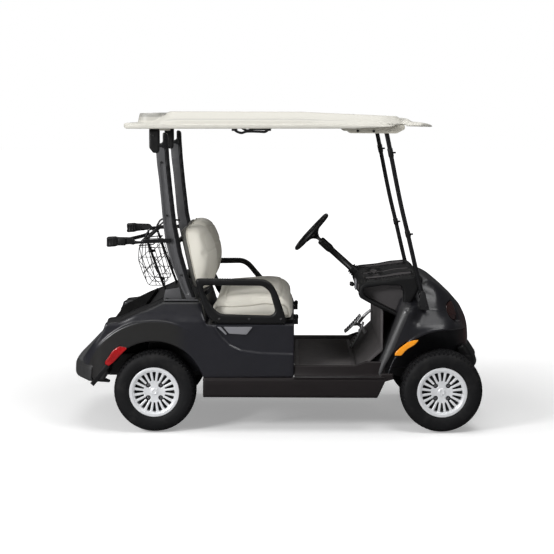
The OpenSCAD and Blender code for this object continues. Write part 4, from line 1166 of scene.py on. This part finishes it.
def armrests():
    near = (outline([(-472, 888), (-74, 884), (-30, 858), (2, 800), (58, 627), (-352, 627), (-398, 668),
                     (-428, 740),
                     (-448, 815)], 34),
            outline([(-426, 848), (-84, 845), (-44, 812), (-12, 700), (-34, 676), (-322, 684), (-354, 708),
                     (-388, 750), (-414, 806)], 20))
    far = (outline([(-472, 891), (-236, 892), (-188, 868), (-111, 776), (34, 627), (-352, 627), (-398, 668),
                    (-428, 740), (-448, 815)], 34),
           outline([(-426, 855), (-240, 858), (-206, 838), (-156, 776), (-74, 684), (-322, 684),
                    (-354, 708),
                    (-388, 750), (-414, 806)], 20))

    for s, side, (outer, hole) in ((-1, "right", near), (1, "left", far)):
        def form(x, y, z, outer=outer, hole=hole):
            ay = np.abs(y)
            f = smax(outer(x, z), -hole(x, z), 0.016)
            width = 0.017 + 0.004 * ease((z - 0.83) / 0.03)
            f = smax(f, np.abs(ay - 0.5605) - width, 0.016)
            # Grip texture on top of the bar
            return f + 0.0012 * np.sin(x * 2 * math.pi / 0.014) * (z > 0.872) * (x > -0.40) * (x < -0.25)

        lo, hi = sorted((s * 0.532, s * 0.588))
        field_mesh(side + "_armrest_loop", form, (-0.490, lo, 0.615), (0.075, hi, 0.905), 0.0050, "black",
                   slot="black_plastic", replaces=(side + "_armrest",))
    # Brace from the near armrest to its backrest
    brace = gusset([(-0.425, 0.802), (-0.408, 0.784), (-0.364, 0.822), (-0.377, 0.838)], -0.5385, 0.010)
    add_mesh("armrest_braces", *brace, "black", slot="black_plastic", bevel=0.002)
    bolts = []
    for s in (-1, 1):
        for x, z in ((-0.330, 0.655), (-0.160, 0.655), (0.020, 0.655), (-0.440, 0.868)):
            bolts.append(bolt((x, s * 0.5765, z), (0, s, 0), 0.006, 0.004))
    add_mesh("armrest_bolts", *combine(bolts), "steel", slot="black_steel", angle=30)


# ---------------------------------------------------------------- struts and roof fittings

def rear_struts():
    front = [(-463, 756), (-498, 850), (-522, 935), (-546, 1020), (-562, 1111), (-578, 1191), (-599, 1384),
             (-612, 1525), (-620, 1640), (-622, 1700)]
    rear = [(-646, 1708), (-646, 1650), (-689, 1636), (-682, 1530), (-671, 1441), (-661, 1328),
            (-651, 1200), (-639, 1101),
            (-610, 980), (-580, 900), (-548, 820), (-518, 756)]
    face = outline(front + rear, 12)
    recess = outline([(-520, 790), (-506, 790), (-530, 870), (-560, 955), (-588, 1090), (-606, 1191),
                      (-622, 1350),
                      (-640, 1540), (-662, 1540), (-648, 1350), (-636, 1184), (-620, 1090), (-592, 975),
                      (-540, 840)], 6)
    bend = np.array(front) * MM
    sleeve = outline([(-724, 1729), (-724, 1622), (-704, 1594), (-676, 1590), (-666, 1606), (-666, 1729)],
                     5)

    def form(x, y, z):
        ay = np.abs(y)
        f = smax(face(x, z), np.abs(ay - REAR_STRUT_Y) - 0.0175, 0.006)
        f = smax(f, -smax(recess(x, z), 0.5035 - ay, 0.003), 0.004)
        return f

    def top(x, y, z):
        ay = np.abs(y)
        f = smax(sleeve(x, z), np.abs(ay - REAR_STRUT_Y) - 0.022, 0.008)
        return f

    def trim(x, y, z):
        edge = np.interp(z, bend[:, 1], bend[:, 0])
        f = smax(face(x, z) - 0.0020, np.abs(np.abs(y) - REAR_STRUT_Y) - 0.0205, 0.003)
        return smax(f, (edge - 0.021 - 0.04 * ease((z - 1.615) / 0.02)) - x, 0.002)

    for s, side in ((-1, "right"), (1, "left")):
        lo, hi = sorted((s * 0.466, s * 0.520))
        field_mesh(side + "_rear_strut_trim", trim, (-0.700, lo, 0.770), (-0.450, hi, 1.715), 0.0056,
                   "tube",
                   slot="strut_paint")
        field_mesh(side + "_rear_strut_channel", form, (-0.740, lo, 0.745), (-0.450, hi, 1.735), 0.0060,
                   "strut",
                   slot="strut_paint", replaces=("rear_struts",))
        field_mesh(side + "_rear_strut_sleeve", top, (-0.740, lo, 1.575), (-0.600, hi, 1.735), 0.0050,
                   "black",
                   slot="black_plastic")
    parts, feet = [], []
    for s in (-1, 1):
        for x, z in ((-0.548, 0.900), (-0.628, 1.240), (-0.655, 1.540), (-0.700, 1.690)):
            parts.append(bolt((x, s * (0.5095 if z < 1.6 else 0.513), z), (0, s, 0), 0.0048, 0.004))
        # Foot plate on the ledge, with its gusset and bolts
        feet.append(box_part((-0.648, s * REAR_STRUT_Y - 0.030, 0.753),
                             (-0.452, s * REAR_STRUT_Y + 0.030, 0.762)))
        feet.append(gusset([(-0.652, 0.760), (-0.545, 0.760), (-0.560, 0.828), (-0.640, 0.815)], s * 0.500,
                           0.006))
        for x in (-0.632, -0.468):
            parts.append(bolt((x, s * 0.508, 0.762), (0, 0, 1), 0.007, 0.006))
    add_mesh("rear_strut_bolts", *combine(parts), "steel", slot="black_steel", angle=30)
    add_mesh("rear_strut_feet", *combine(feet), "strut", slot="strut_paint", bevel=0.002)


def gusset(points, y, thick):
    """A flat plate in X and Z, given in metres."""
    p = np.array(points, float)
    n = len(p)
    pts = np.vstack([np.column_stack([p[:, 0], np.full(n, y + d),
                                      p[:, 1]]) for d in (-thick / 2, thick / 2)])
    faces = [tuple(range(n - 1, -1, -1)), tuple(range(n, 2 * n))]
    faces += [(k, (k + 1) % n, n + (k + 1) % n, n + k) for k in range(n)]
    return pts, faces


def front_struts():
    parts, clips, feet = [], [], []
    for s in (-1, 1):
        track = smooth_path([(0.612, s * FRONT_STRUT_Y, 1.712), (0.628, s * FRONT_STRUT_Y, 1.640),
                             (0.692, s * FRONT_STRUT_Y, 1.330),
                             (0.741, s * FRONT_STRUT_Y, 1.127), (0.789, s * FRONT_STRUT_Y, 0.926),
                             (0.829, s * FRONT_STRUT_Y, 0.770)], 60)
        parts.append(sweep(track, ring(0.0128, 20), up=(0, 1, 0)))
        for z in (1.600, 1.140):
            k = int(np.argmin(np.abs(track[:, 2] - z)))
            clips.append(sweep(track[k - 1:k + 2], ring(0.0155, 20), up=(0, 1, 0)))
            c = track[k]
            clips.append(box_part((c[0] + 0.012, c[1] - 0.004, c[2] - 0.006), (c[0] + 0.030, c[1] + 0.004,
                                                                                c[2] + 0.004)))
        # Flared foot with its bolts
        base = smooth_path([(0.818, s * FRONT_STRUT_Y, 0.800), (0.826, s * FRONT_STRUT_Y, 0.770),
                            (0.838, s * FRONT_STRUT_Y, 0.722)], 6)
        parts.append(sweep(base, rounded_rect(0.034, 0.046, 0.010), up=(0, 1, 0)))
        feet.append(gusset([(0.792, 0.706), (0.866, 0.700), (0.838, 0.806), (0.822, 0.810)], s * 0.508,
                           0.006))
        for x in (0.810, 0.850):
            feet.append(bolt((x, s * 0.511, 0.722), (0, s, 0), 0.006, 0.004))
    add_mesh("front_strut_tubes", *combine(parts), "tube", slot="strut_paint", replaces=("front_struts",),
             angle=50)
    add_mesh("front_strut_clips", *combine(clips), "black", slot="black_plastic", bevel=0.001)
    add_mesh("front_strut_feet", *combine(feet), "steel", slot="strut_paint", bevel=0.0015)


def roof_fittings():
    cad_copy("roof_bracket_plates", "roof_brackets", "bracket", bevel=0.0025, slot="bracket_plastic")
    parts = []
    for s in (-1, 1):
        for x, z in ((0.450, 1.716), (0.540, 1.716)):
            parts.append(bolt((x, s * 0.509, z), (0, s, 0), 0.0075, 0.006))
    add_mesh("roof_bracket_bolts", *combine(parts), "steel", slot="black_steel", angle=30)
    track, ends = [], []
    for s in (-1, 1):
        line = [(-0.240, 1.724), (-0.226, 1.713), (-0.200, 1.706), (-0.170, 1.714), (-0.100, 1.713),
                (-0.070, 1.712), (-0.052, 1.724)]
        path = smooth_path([(x, s * HANDLE_Y, z) for x, z in line], 30)
        track.append(sweep(path, rounded_rect(0.014, 0.006, 0.0025), up=(0, 1, 0)))
        for x in (-0.240, -0.052):
            ends.append(box_part((x - 0.016, s * HANDLE_Y - 0.012, 1.717),
                                 (x + 0.016, s * HANDLE_Y + 0.012, 1.729)))
    add_mesh("roof_hand_holds", *combine(track + ends), "black", slot="black_plastic",
             replaces=("roof_handles",),
             bevel=0.0015)


armrests()
rear_struts()
front_struts()
roof_fittings()


# ---------------------------------------------------------------- bag rack and basket

def bag_rack():
    arm = outline([(-972, 1112), (-966, 1118), (-912, 1121), (-828, 1119), (-806, 1104), (-756, 1102),
                   (-756, 1072),
                   (-812, 1066), (-838, 1072), (-908, 1064), (-966, 1060), (-973, 1066)], 8)

    def form(x, y, z):
        ay = np.abs(y)
        end = ease((-0.905 - x) / 0.02)
        outer = smax(arm(x, z) + 0.004 * (1 - end) + 0.006 * ease((x + 0.82) / 0.01),
                     np.abs(ay - 0.503) - 0.016 - 0.004 * end, 0.012)
        # Grooves in the rubber end and a strap slot
        outer = outer + 0.003 * (np.sin(x * 2 * math.pi / 0.016) > 0.3) * end * (np.abs(z - 1.09) < 0.018)
        return outer

    field_mesh("bag_rack_arms", form, (-0.990, -0.535, 1.045), (-0.745, 0.535, 1.135), 0.0056, "black",
               slot="black_steel")
    parts = [sweep([(-0.765, -0.517, 1.092), (-0.765, -0.2, 1.092), (-0.765, 0.2, 1.092),
                    (-0.765, 0.517, 1.092)],
                   ring(0.012, 20), up=(0, 0, 1))]
    for s in (-1, 1):
        parts.append(sweep(smooth_path([(-0.765, s * RACK_ARM_Y, 1.092), (-0.700, s * RACK_ARM_Y, 1.095),
                                        (-0.602, s * RACK_ARM_Y, 1.098)], 10),
                                        rounded_rect(0.008, 0.024, 0.003)))
        # Upper hoop that ties the bags in, with a slanting brace
        parts.append(sweep(smooth_path([(-0.770, s * POST_Y, 1.098), (-0.742, s * POST_Y, 1.150),
                                        (-0.700, s * 0.325, 1.158), (-0.620, s * 0.325, 1.150)], 14),
                           ring(0.006, 12), up=(0, 1, 0)))
    parts.append(sweep([(-0.700, -0.325, 1.158), (-0.700, 0, 1.158), (-0.700, 0.325, 1.158)],
                       ring(0.005, 12)))
    add_mesh("bag_rack_tubes", *combine(parts), "tube", slot="black_steel", replaces=("bag_rack",),
             angle=50)
    posts = []
    for s in (-1, 1):
        posts.append(sweep(smooth_path([(-0.760, s * POST_Y, 1.086), (-0.700, s * POST_Y, 0.915),
                                        (-0.641, s * POST_Y, 0.757)], 12), ring(0.0075, 16), up=(0, 1, 0)))
    add_mesh("basket_post_tubes", *combine(posts), "tube", slot="black_steel", replaces=("basket_posts",),
             angle=50)
    # Straps with their buckles on the outer arms
    straps, buckles = [], []
    for s in (-1, 1):
        straps.append(sweep(smooth_path([(-0.880, s * 0.523, 1.090), (-0.856, s * 0.440, 1.097),
                                         (-0.800, s * POST_Y, 1.104), (-0.778, s * 0.200, 1.104),
                                         (-0.768, s * 0.120, 1.106)], 24),
                                         rounded_rect(0.003, 0.022, 0.001)))
        buckles.append(box_part((-0.905, s * 0.524 - 0.006, 1.070), (-0.862, s * 0.524 + 0.006, 1.112)))
    add_mesh("bag_straps", *combine(straps), "web", slot="black_plastic", angle=50)
    add_mesh("bag_strap_buckles", *combine(buckles), "black", slot="black_plastic", bevel=0.003)


def basket():
    edge = soft([(-769, 796), (-667, 796), (-739, 1036), (-821, 1028), (-827, 944), (-799, 862)], 16,
                4) * MM
    track = np.vstack([edge, edge[:1]])
    length = np.concatenate([[0], np.cumsum(np.linalg.norm(np.diff(track, axis=0), axis=1))])

    def along(d):
        return np.array([np.interp(d, length, track[:, 0]), np.interp(d, length, track[:, 1])])

    wires = []
    # The open top lies between the last two corners
    gap0 = length[int(np.argmax(edge[:, 1] > 1.030))]
    gap1 = length[int(np.argmin(np.abs(edge[:, 0] + 0.820) + np.abs(edge[:, 1] - 1.020)))]
    hoop = np.arange(gap1, length[-1] + gap0, 0.014)
    for y in np.linspace(-0.296, 0.296, 4):
        pts = [(x, y, z) for x, z in (along(d % length[-1]) for d in hoop)]
        wires.append(sweep(pts, ring(HOOP_WIRE, 6), up=(0, 1, 0)))
    for d in np.arange(hoop[0], hoop[-1], 0.078):
        x, z = along(d % length[-1])
        wires.append(sweep([(x, -0.296, z), (x, 0, z), (x, 0.296, z)], ring(HOOP_WIRE, 6)))
    field = outline(edge / MM, 0)
    for y in (-0.297, 0.297):
        for x in np.arange(-0.800, -0.68, 0.052):
            zs = np.linspace(0.79, 1.04, 60)
            good = [(x, y, z) for z in zs if field(np.array(x - (z - 0.92) * 0.20), np.array(z)) < 0.002]
            if len(good) > 3:
                path = [(p[0] - (p[2] - 0.92) * 0.20, p[1], p[2]) for p in (good[0], good[len(good) // 2],
                                                                            good[-1])]
                wires.append(sweep(path, ring(END_WIRE, 6), up=(0, 1, 0)))
        for z in np.arange(0.845, 1.02, 0.058):
            xs = [x for x in np.linspace(-0.84, -0.66, 90) if field(np.array(x), np.array(z)) < 0.002]
            wires.append(sweep([(xs[0], y, z), ((xs[0] + xs[-1]) / 2, y, z), (xs[-1], y, z)],
                               ring(END_WIRE, 6)))
        # Cross braces in the end panel
        wires.append(sweep([(-0.826, y, 0.945), (-0.765, y, 0.87), (-0.700, y, 0.800)], ring(END_WIRE, 6),
                           up=(0, 1, 0)))
        wires.append(sweep([(-0.800, y, 0.860), (-0.745, y, 0.92), (-0.705, y, 0.930)], ring(END_WIRE, 6),
                           up=(0, 1, 0)))
    hang = np.array([0.012, 0.0, 0.020])
    wire_points, wire_faces = combine(wires)
    add_mesh("basket_wires", np.array(wire_points) + hang, wire_faces, "tube", slot="wire_steel",
             replaces=("basket",), angle=60)
    frame_pts = [(-0.821, 1.028), (-0.739, 1.036)]
    rim = []
    for x, z in frame_pts:
        rim.append(sweep([(x, -0.300, z), (x, 0, z), (x, 0.300, z)], ring(RIM_WIRE, 10)))
    for y in (-0.300, 0.300):
        rim.append(sweep([(frame_pts[0][0], y, frame_pts[0][1]), (-0.780, y, 1.032), (frame_pts[1][0], y,
                                                                                  frame_pts[1][1])],
                                                                                  ring(RIM_WIRE, 10),
                         up=(0, 1, 0)))
        s = 1 if y > 0 else -1
        for x, z in ((-0.740, 1.000), (-0.684, 0.836)):
            rim.append(box_part((x - 0.010, min(s * 0.296, s * 0.324), z - 0.007),
                                (x + 0.012, max(s * 0.296, s * 0.324), z + 0.007)))
    rim_points, rim_faces = combine(rim)
    add_mesh("basket_rim", np.array(rim_points) + hang, rim_faces, "tube", slot="wire_steel", bevel=0.001)


bag_rack()
basket()


# ---------------------------------------------------------------- floor, sills and controls

def sills():
    side = outline([(-425, 206), (568, 203), (612, 300), (660, 312), (658, 346), (588, 346), (572, 322),
                    (-425, 322)], 6)

    def form(x, y, z):
        ay = np.abs(y)
        out = 0.590 - 0.006 * ease((z - 0.300) / 0.015) - 0.010 * ease((0.222 - z) / 0.020)
        f = smax(side(x, z), ay - out, 0.010)
        f = smax(f, 0.556 - ay, 0.004)
        return f + 0.002 * ease(1 - np.abs(z - 0.297) / 0.003)

    for s, name in ((-1, "right"), (1, "left")):
        lo, hi = sorted((s * 0.550, s * 0.600))
        field_mesh(name + "_sill_board", form, (-0.440, lo, 0.195), (0.680, hi, 0.356), 0.0066, "sill",
                   slot="sill_plastic", replaces=("sills",))


def floor():
    cad_copy("floor_tray", "floor_pan", "mat", bevel=0.004, slot="dark_plastic")
    # Mat with long ribs and a rolled edge
    x0, x1, y1, z = BODY_FRONT + 0.008, 0.450, 0.528, 0.3695
    parts = [box_part((x0, -y1, 0.3625), (x1, y1, z))]
    for y in np.arange(-0.50, 0.501, 0.022):
        parts.append(sweep([(x0 + 0.02, y, z), ((x0 + x1) / 2, y, z), (x1 - 0.02, y, z)],
                           [(-0.005, -0.001), (-0.003, 0.0028), (0.003, 0.0028), (0.005, -0.001)]))
    add_mesh("floor_mat_ribbed", *combine(parts), "mat", slot="mat_rubber", replaces=("floor_mat",),
             bevel=0.001)
    # Skirts that close the sides of the floor down to the sills
    skirts = []
    cove = [(0.592, 0.318), (0.592, 0.324), (0.574, 0.332), (0.568, 0.350), (0.566, 0.384), (0.560, 0.3905),
            (0.550, 0.3905), (0.550, 0.318)]
    stations = ((0.0945, 0.0), (0.440, 0.0), (0.500, 0.022), (0.610, 0.022))
    for s in (-1, 1):
        pts = np.array([(x, s * y, z + rise * (z > 0.38)) for x, rise in stations for y, z in cove])
        n = len(cove)
        faces = [(k * n + j, k * n + (j + 1) % n, (k + 1) * n + (j + 1) % n, (k + 1) * n + j)
                 for k in range(3) for j in range(n)]
        faces += [tuple(range(n)), tuple(range(3 * n, 4 * n))]
        skirts.append((pts, faces))
    add_mesh("floor_skirts", *combine(skirts), "sill", slot="sill_plastic", bevel=0.002, angle=20)
    # Scuff rail along each edge of the floor
    rails = []
    for s in (-1, 1):
        rails.append(sweep([(0.098, s * 0.582, 0.3255), (0.33, s * 0.582, 0.3255),
                            (0.560, s * 0.582, 0.3255)],
                           rounded_rect(0.016, 0.007, 0.003)))
    add_mesh("floor_scuff_rails", *combine(rails), "bumper", slot="sill_plastic", angle=40)


def tilted(points):
    """Local [along axis, across, height] points put on the steering column's axis."""
    a = math.radians(COLUMN_SLOPE)
    down = np.array([math.cos(a), 0, -math.sin(a)])
    up = np.array([math.sin(a), 0, math.cos(a)])
    p = np.asarray(points, float)
    return np.asarray(WHEEL_CENTRE) + p[:, :1] * down + p[:, 1:2] * np.array([0, 1, 0]) + p[:, 2:] * up


def steering():
    turn = np.linspace(0, 2 * math.pi, 120, endpoint=False)
    grip = 0.0125 + 0.0008 * np.cos(turn * 3)
    rows = []
    for t, g in zip(turn, grip):
        for b in np.linspace(0, 2 * math.pi, 18, endpoint=False):
            dent = 0.0013 * max(0, -math.cos(b)) * (math.cos(t * 36) > 0.2)
            r = 0.137 + (g - dent) * math.cos(b)
            rows.append(((g - dent) * math.sin(b), r * math.sin(t), r * math.cos(t)))
    faces = [(i * 18 + j, i * 18 + (j + 1) % 18, ((i + 1) % 120) * 18 + (j + 1) % 18,
              ((i + 1) % 120) * 18 + j)
             for i in range(120) for j in range(18)]
    parts = [(tilted(rows), faces)]
    for t in (math.radians(180), math.radians(62), math.radians(-62)):
        path = [(0.026 - 0.022 * k / 8, (0.020 + 0.108 * k / 8) * math.sin(t),
                 (0.020 + 0.108 * k / 8) * math.cos(t))
                for k in range(9)]
        pts, fs = sweep(path, rounded_rect(0.034, 0.009, 0.004), up=(1, 0, 0))
        parts.append((tilted(pts), fs))
    add_mesh("steering_wheel_rim", *combine(parts), "black", body="steering_wheel", slot="wheel_grip",
             angle=50)
    profile = [(0.0001, -0.006), (0.020, -0.005), (0.036, 0.002), (0.041, 0.012), (0.038, 0.026),
               (0.024, 0.036),
               (0.013, 0.052), (0.0105, 0.060), (0.0105, 0.120)]
    pts, fs = revolve(profile, 40)
    hub = tilted(np.stack([-pts[:, 1], pts[:, 0], pts[:, 2]], 1))
    clip_pts, clip_faces = box_part((-0.014, -0.045, 0.012), (-0.006, 0.045, 0.040))
    add_mesh("steering_wheel_hub", hub, fs, "dash", body="steering_wheel", slot="wheel_grip",
             replaces=("steering_wheel",), angle=40)
    add_mesh("score_card_clip", tilted(clip_pts), clip_faces, "black", body="steering_wheel",
             slot="wheel_grip",
             bevel=0.003)
    # Column shroud with a bellows where it enters the dash
    profile = [(0.0115, 0.072), (0.021, 0.074), (0.025, 0.082), (0.026, 0.150), (0.0235, 0.160),
               (0.0205, 0.170),
               (0.0205, 0.330)]
    for k in range(7):
        profile += [(0.034 + 0.002 * k, 0.337 + 0.014 * k), (0.026 + 0.002 * k, 0.344 + 0.014 * k)]
    profile += [(0.047, 0.436), (0.047, 0.450), (0.019, 0.455), (0.019, 0.515)]
    pts, fs = revolve(profile, 40)
    shroud = tilted(np.stack([-pts[:, 1], pts[:, 0], pts[:, 2]], 1))
    add_mesh("steering_column_shroud", shroud, fs, "black", slot="black_plastic",
             replaces=("steering_column",),
             angle=45)


def pedals():
    """Two ribbed pedals, the brake on a bent arm."""
    metal, pads = [], []
    brake = ((0.416, 0.450), 0.250, 0.340, 0.144, math.atan2(106, 98))
    accelerator = ((0.452, 0.371), 0.174, 0.228, 0.172, math.radians(63))
    for (x, z), y0, y1, length, slope in (brake, accelerator):
        ux, uz = math.cos(slope), math.sin(slope)
        nx, nz = -uz, ux
        track = [(x + ux * t * length, (y0 + y1) / 2, z + uz * t * length) for t in np.linspace(0, 1, 7)]
        bow = [0.006, 0.003, 0.001, 0, 0.001, 0.003, 0.006]
        track = [(p[0] + nx * b, p[1], p[2] + nz * b) for p, b in zip(track, bow)]
        metal.append(sweep(track, rounded_rect(y1 - y0, 0.011, 0.003), up=(nx, 0, nz)))
        for k in range(1, 9):
            cx, cz = x + ux * length * k / 9 + nx * 0.0075, z + uz * length * k / 9 + nz * 0.0075
            pads.append(sweep([(cx, y0 + 0.006, cz), (cx, (y0 + y1) / 2, cz), (cx, y1 - 0.006, cz)],
                              rounded_rect(0.009, 0.006, 0.002), up=(nx, 0, nz)))
    metal.append(sweep(smooth_path([(0.470, 0.295, 0.500), (0.500, 0.295, 0.500), (0.530, 0.295, 0.470),
                                    (0.545, 0.295, 0.440)], 14), ring(0.011, 14), up=(0, 1, 0)))
    metal.append(sweep(smooth_path([(0.500, 0.295, 0.510), (0.540, 0.295, 0.560), (0.575, 0.295, 0.590)],
                                   10),
                       ring(0.010, 12), up=(0, 1, 0)))
    add_mesh("pedal_plates", *combine(metal), "pedal", slot="pedal_metal", replaces=("pedals",), angle=40)
    add_mesh("pedal_ribs", *combine(pads), "black", slot="black_plastic", angle=40)


sills()
floor()
steering()
pedals()


# ---------------------------------------------------------------- lights, plates and small parts

def on_side(points, y_at, s, rise):
    """A closed pad on the side of the body: an outline in millimetres, y_at(x, z) below it and rise above."""
    edge = np.asarray(points, float) * MM
    middle = edge.mean(0)
    n = len(edge)
    rings = []
    for scale, lift in ((1.0, -0.004), (1.0, 0.4 * rise), (0.94, 0.8 * rise), (0.80, rise),
                        (0.45, rise * 1.12)):
        p = middle + (edge - middle) * scale
        height = np.broadcast_to(y_at(p[:, 0], p[:, 1]), n) + lift
        rings.append(np.column_stack([p[:, 0], s * height, p[:, 1]]))
    rings.append(np.array([[middle[0], s * (y_at(middle[0], middle[1]) + rise * 1.15), middle[1]]]))
    pts = np.vstack(rings)
    faces = [tuple(range(n))]
    for k in range(4):
        faces += [(k * n + j, k * n + (j + 1) % n, (k + 1) * n + (j + 1) % n,
                   (k + 1) * n + j) for j in range(n)]
    faces += [(4 * n + j, 4 * n + (j + 1) % n, 5 * n) for j in range(n)]
    return pts, faces


def lights():
    red = soft([(-981, 401), (-959, 389), (-934, 408), (-905, 438), (-880, 464), (-852, 490), (-872, 499),
                (-899, 502), (-925, 486), (-943, 466), (-958, 442), (-975, 420)], 8, 3)
    amber = soft([(662, 450), (701, 449), (718, 470), (736, 488), (779, 515), (800, 541), (768, 538),
                  (736, 526),
                  (694, 494), (670, 470)], 8, 3)
    parts = [on_side(red, lambda x, z: 0.5895, s, 0.006) for s in (-1, 1)]
    add_mesh("tail_lenses", *combine(parts), "red", slot="red_lens", replaces=("tail_lights",), angle=50)
    frames = [on_side(red + (red - red.mean(0)) * 0.05, lambda x, z: 0.588, s, 0.0035) for s in (-1, 1)]
    add_mesh("tail_lens_bezels", *combine(frames), "black", slot="black_plastic", angle=50)
    parts = [on_side(amber, front_half, s, 0.006) for s in (-1, 1)]
    add_mesh("marker_lenses", *combine(parts), "amber", slot="amber_lens", replaces=("marker_lights",),
             angle=50)
    # Headlamps: a smoked lens
    lens = outline([(964, 712), (975, 668), (1002, 626), (1066, 604), (1096, 636), (1086, 700),
                    (1030, 750)], 20)

    def form(x, y, z):
        ay = np.abs(y)
        f = smax(lens(x, z), np.abs(ay - 0.405) - 0.082, 0.012)
        return smax(f, smax(HOOD(x, z) + 0.004, ay - hood_width(0.470, x, z) - 0.004, 0.04), 0.012)

    field_mesh("headlamp_lenses", form, (0.950, -0.500, 0.580), (1.120, 0.500, 0.770), 0.0060, "lens",
               slot="dark_lens", replaces=("headlights",))
    # Bare badge plates on the body sides
    plate = soft([(-307, 613), (-141, 613), (-175, 569), (-274, 574)], 6, 3)
    sliver = soft([(-342, 613), (-322, 613), (-287, 574), (-292, 566)], 3, 2)
    parts = [on_side(shape, lambda x, z: 0.5815, s, 0.003) for s in (-1, 1) for shape in (plate, sliver)]
    add_mesh("side_plates", *combine(parts), "stripe", slot="body_paint", angle=40)


lights()


# ---------------------------------------------------------------- CAD nodes that stay, and the end

CAD_LOOKS = {
    "frame_rails": "steel", "frame_crossmembers": "steel", "floor_pan": "mat", "floor_mat": "mat",
    "bag_well": "liner", "rear_struts": "strut", "roof_brackets": "bracket", "front_struts": "tube",
    "roof_handles": "black", "seat_back_shells": "shell", "seat_backs": "vinyl", "seat_back_frame": "steel",
    "seat_hinges": "steel", "left_armrest": "black", "right_armrest": "black", "headlights": "lens",
    "marker_lights": "amber", "tail_lights": "red", "pedals": "pedal", "steering_column": "black",
    "bag_rack": "steel", "basket_posts": "steel", "basket": "steel", "front_axle_beam": "steel",
    "suspension": "steel", "steering_rack": "steel", "rear_axle": "steel", "engine": "engine",
    "seat_cushion": "vinyl", "seat_board": "black", "steering_wheel": "black", "tie_rod": "chrome",
    "left_knuckle": "steel", "right_knuckle": "steel", "sills": "sill",
}
for wheel, _, _ in WHEELS:
    CAD_LOOKS.update({wheel + "_tyre": "tyre", wheel + "_rim": "rim"})
for node, look in CAD_LOOKS.items():
    nodes[node].data.materials.clear()
    nodes[node].data.materials.append(M[look])
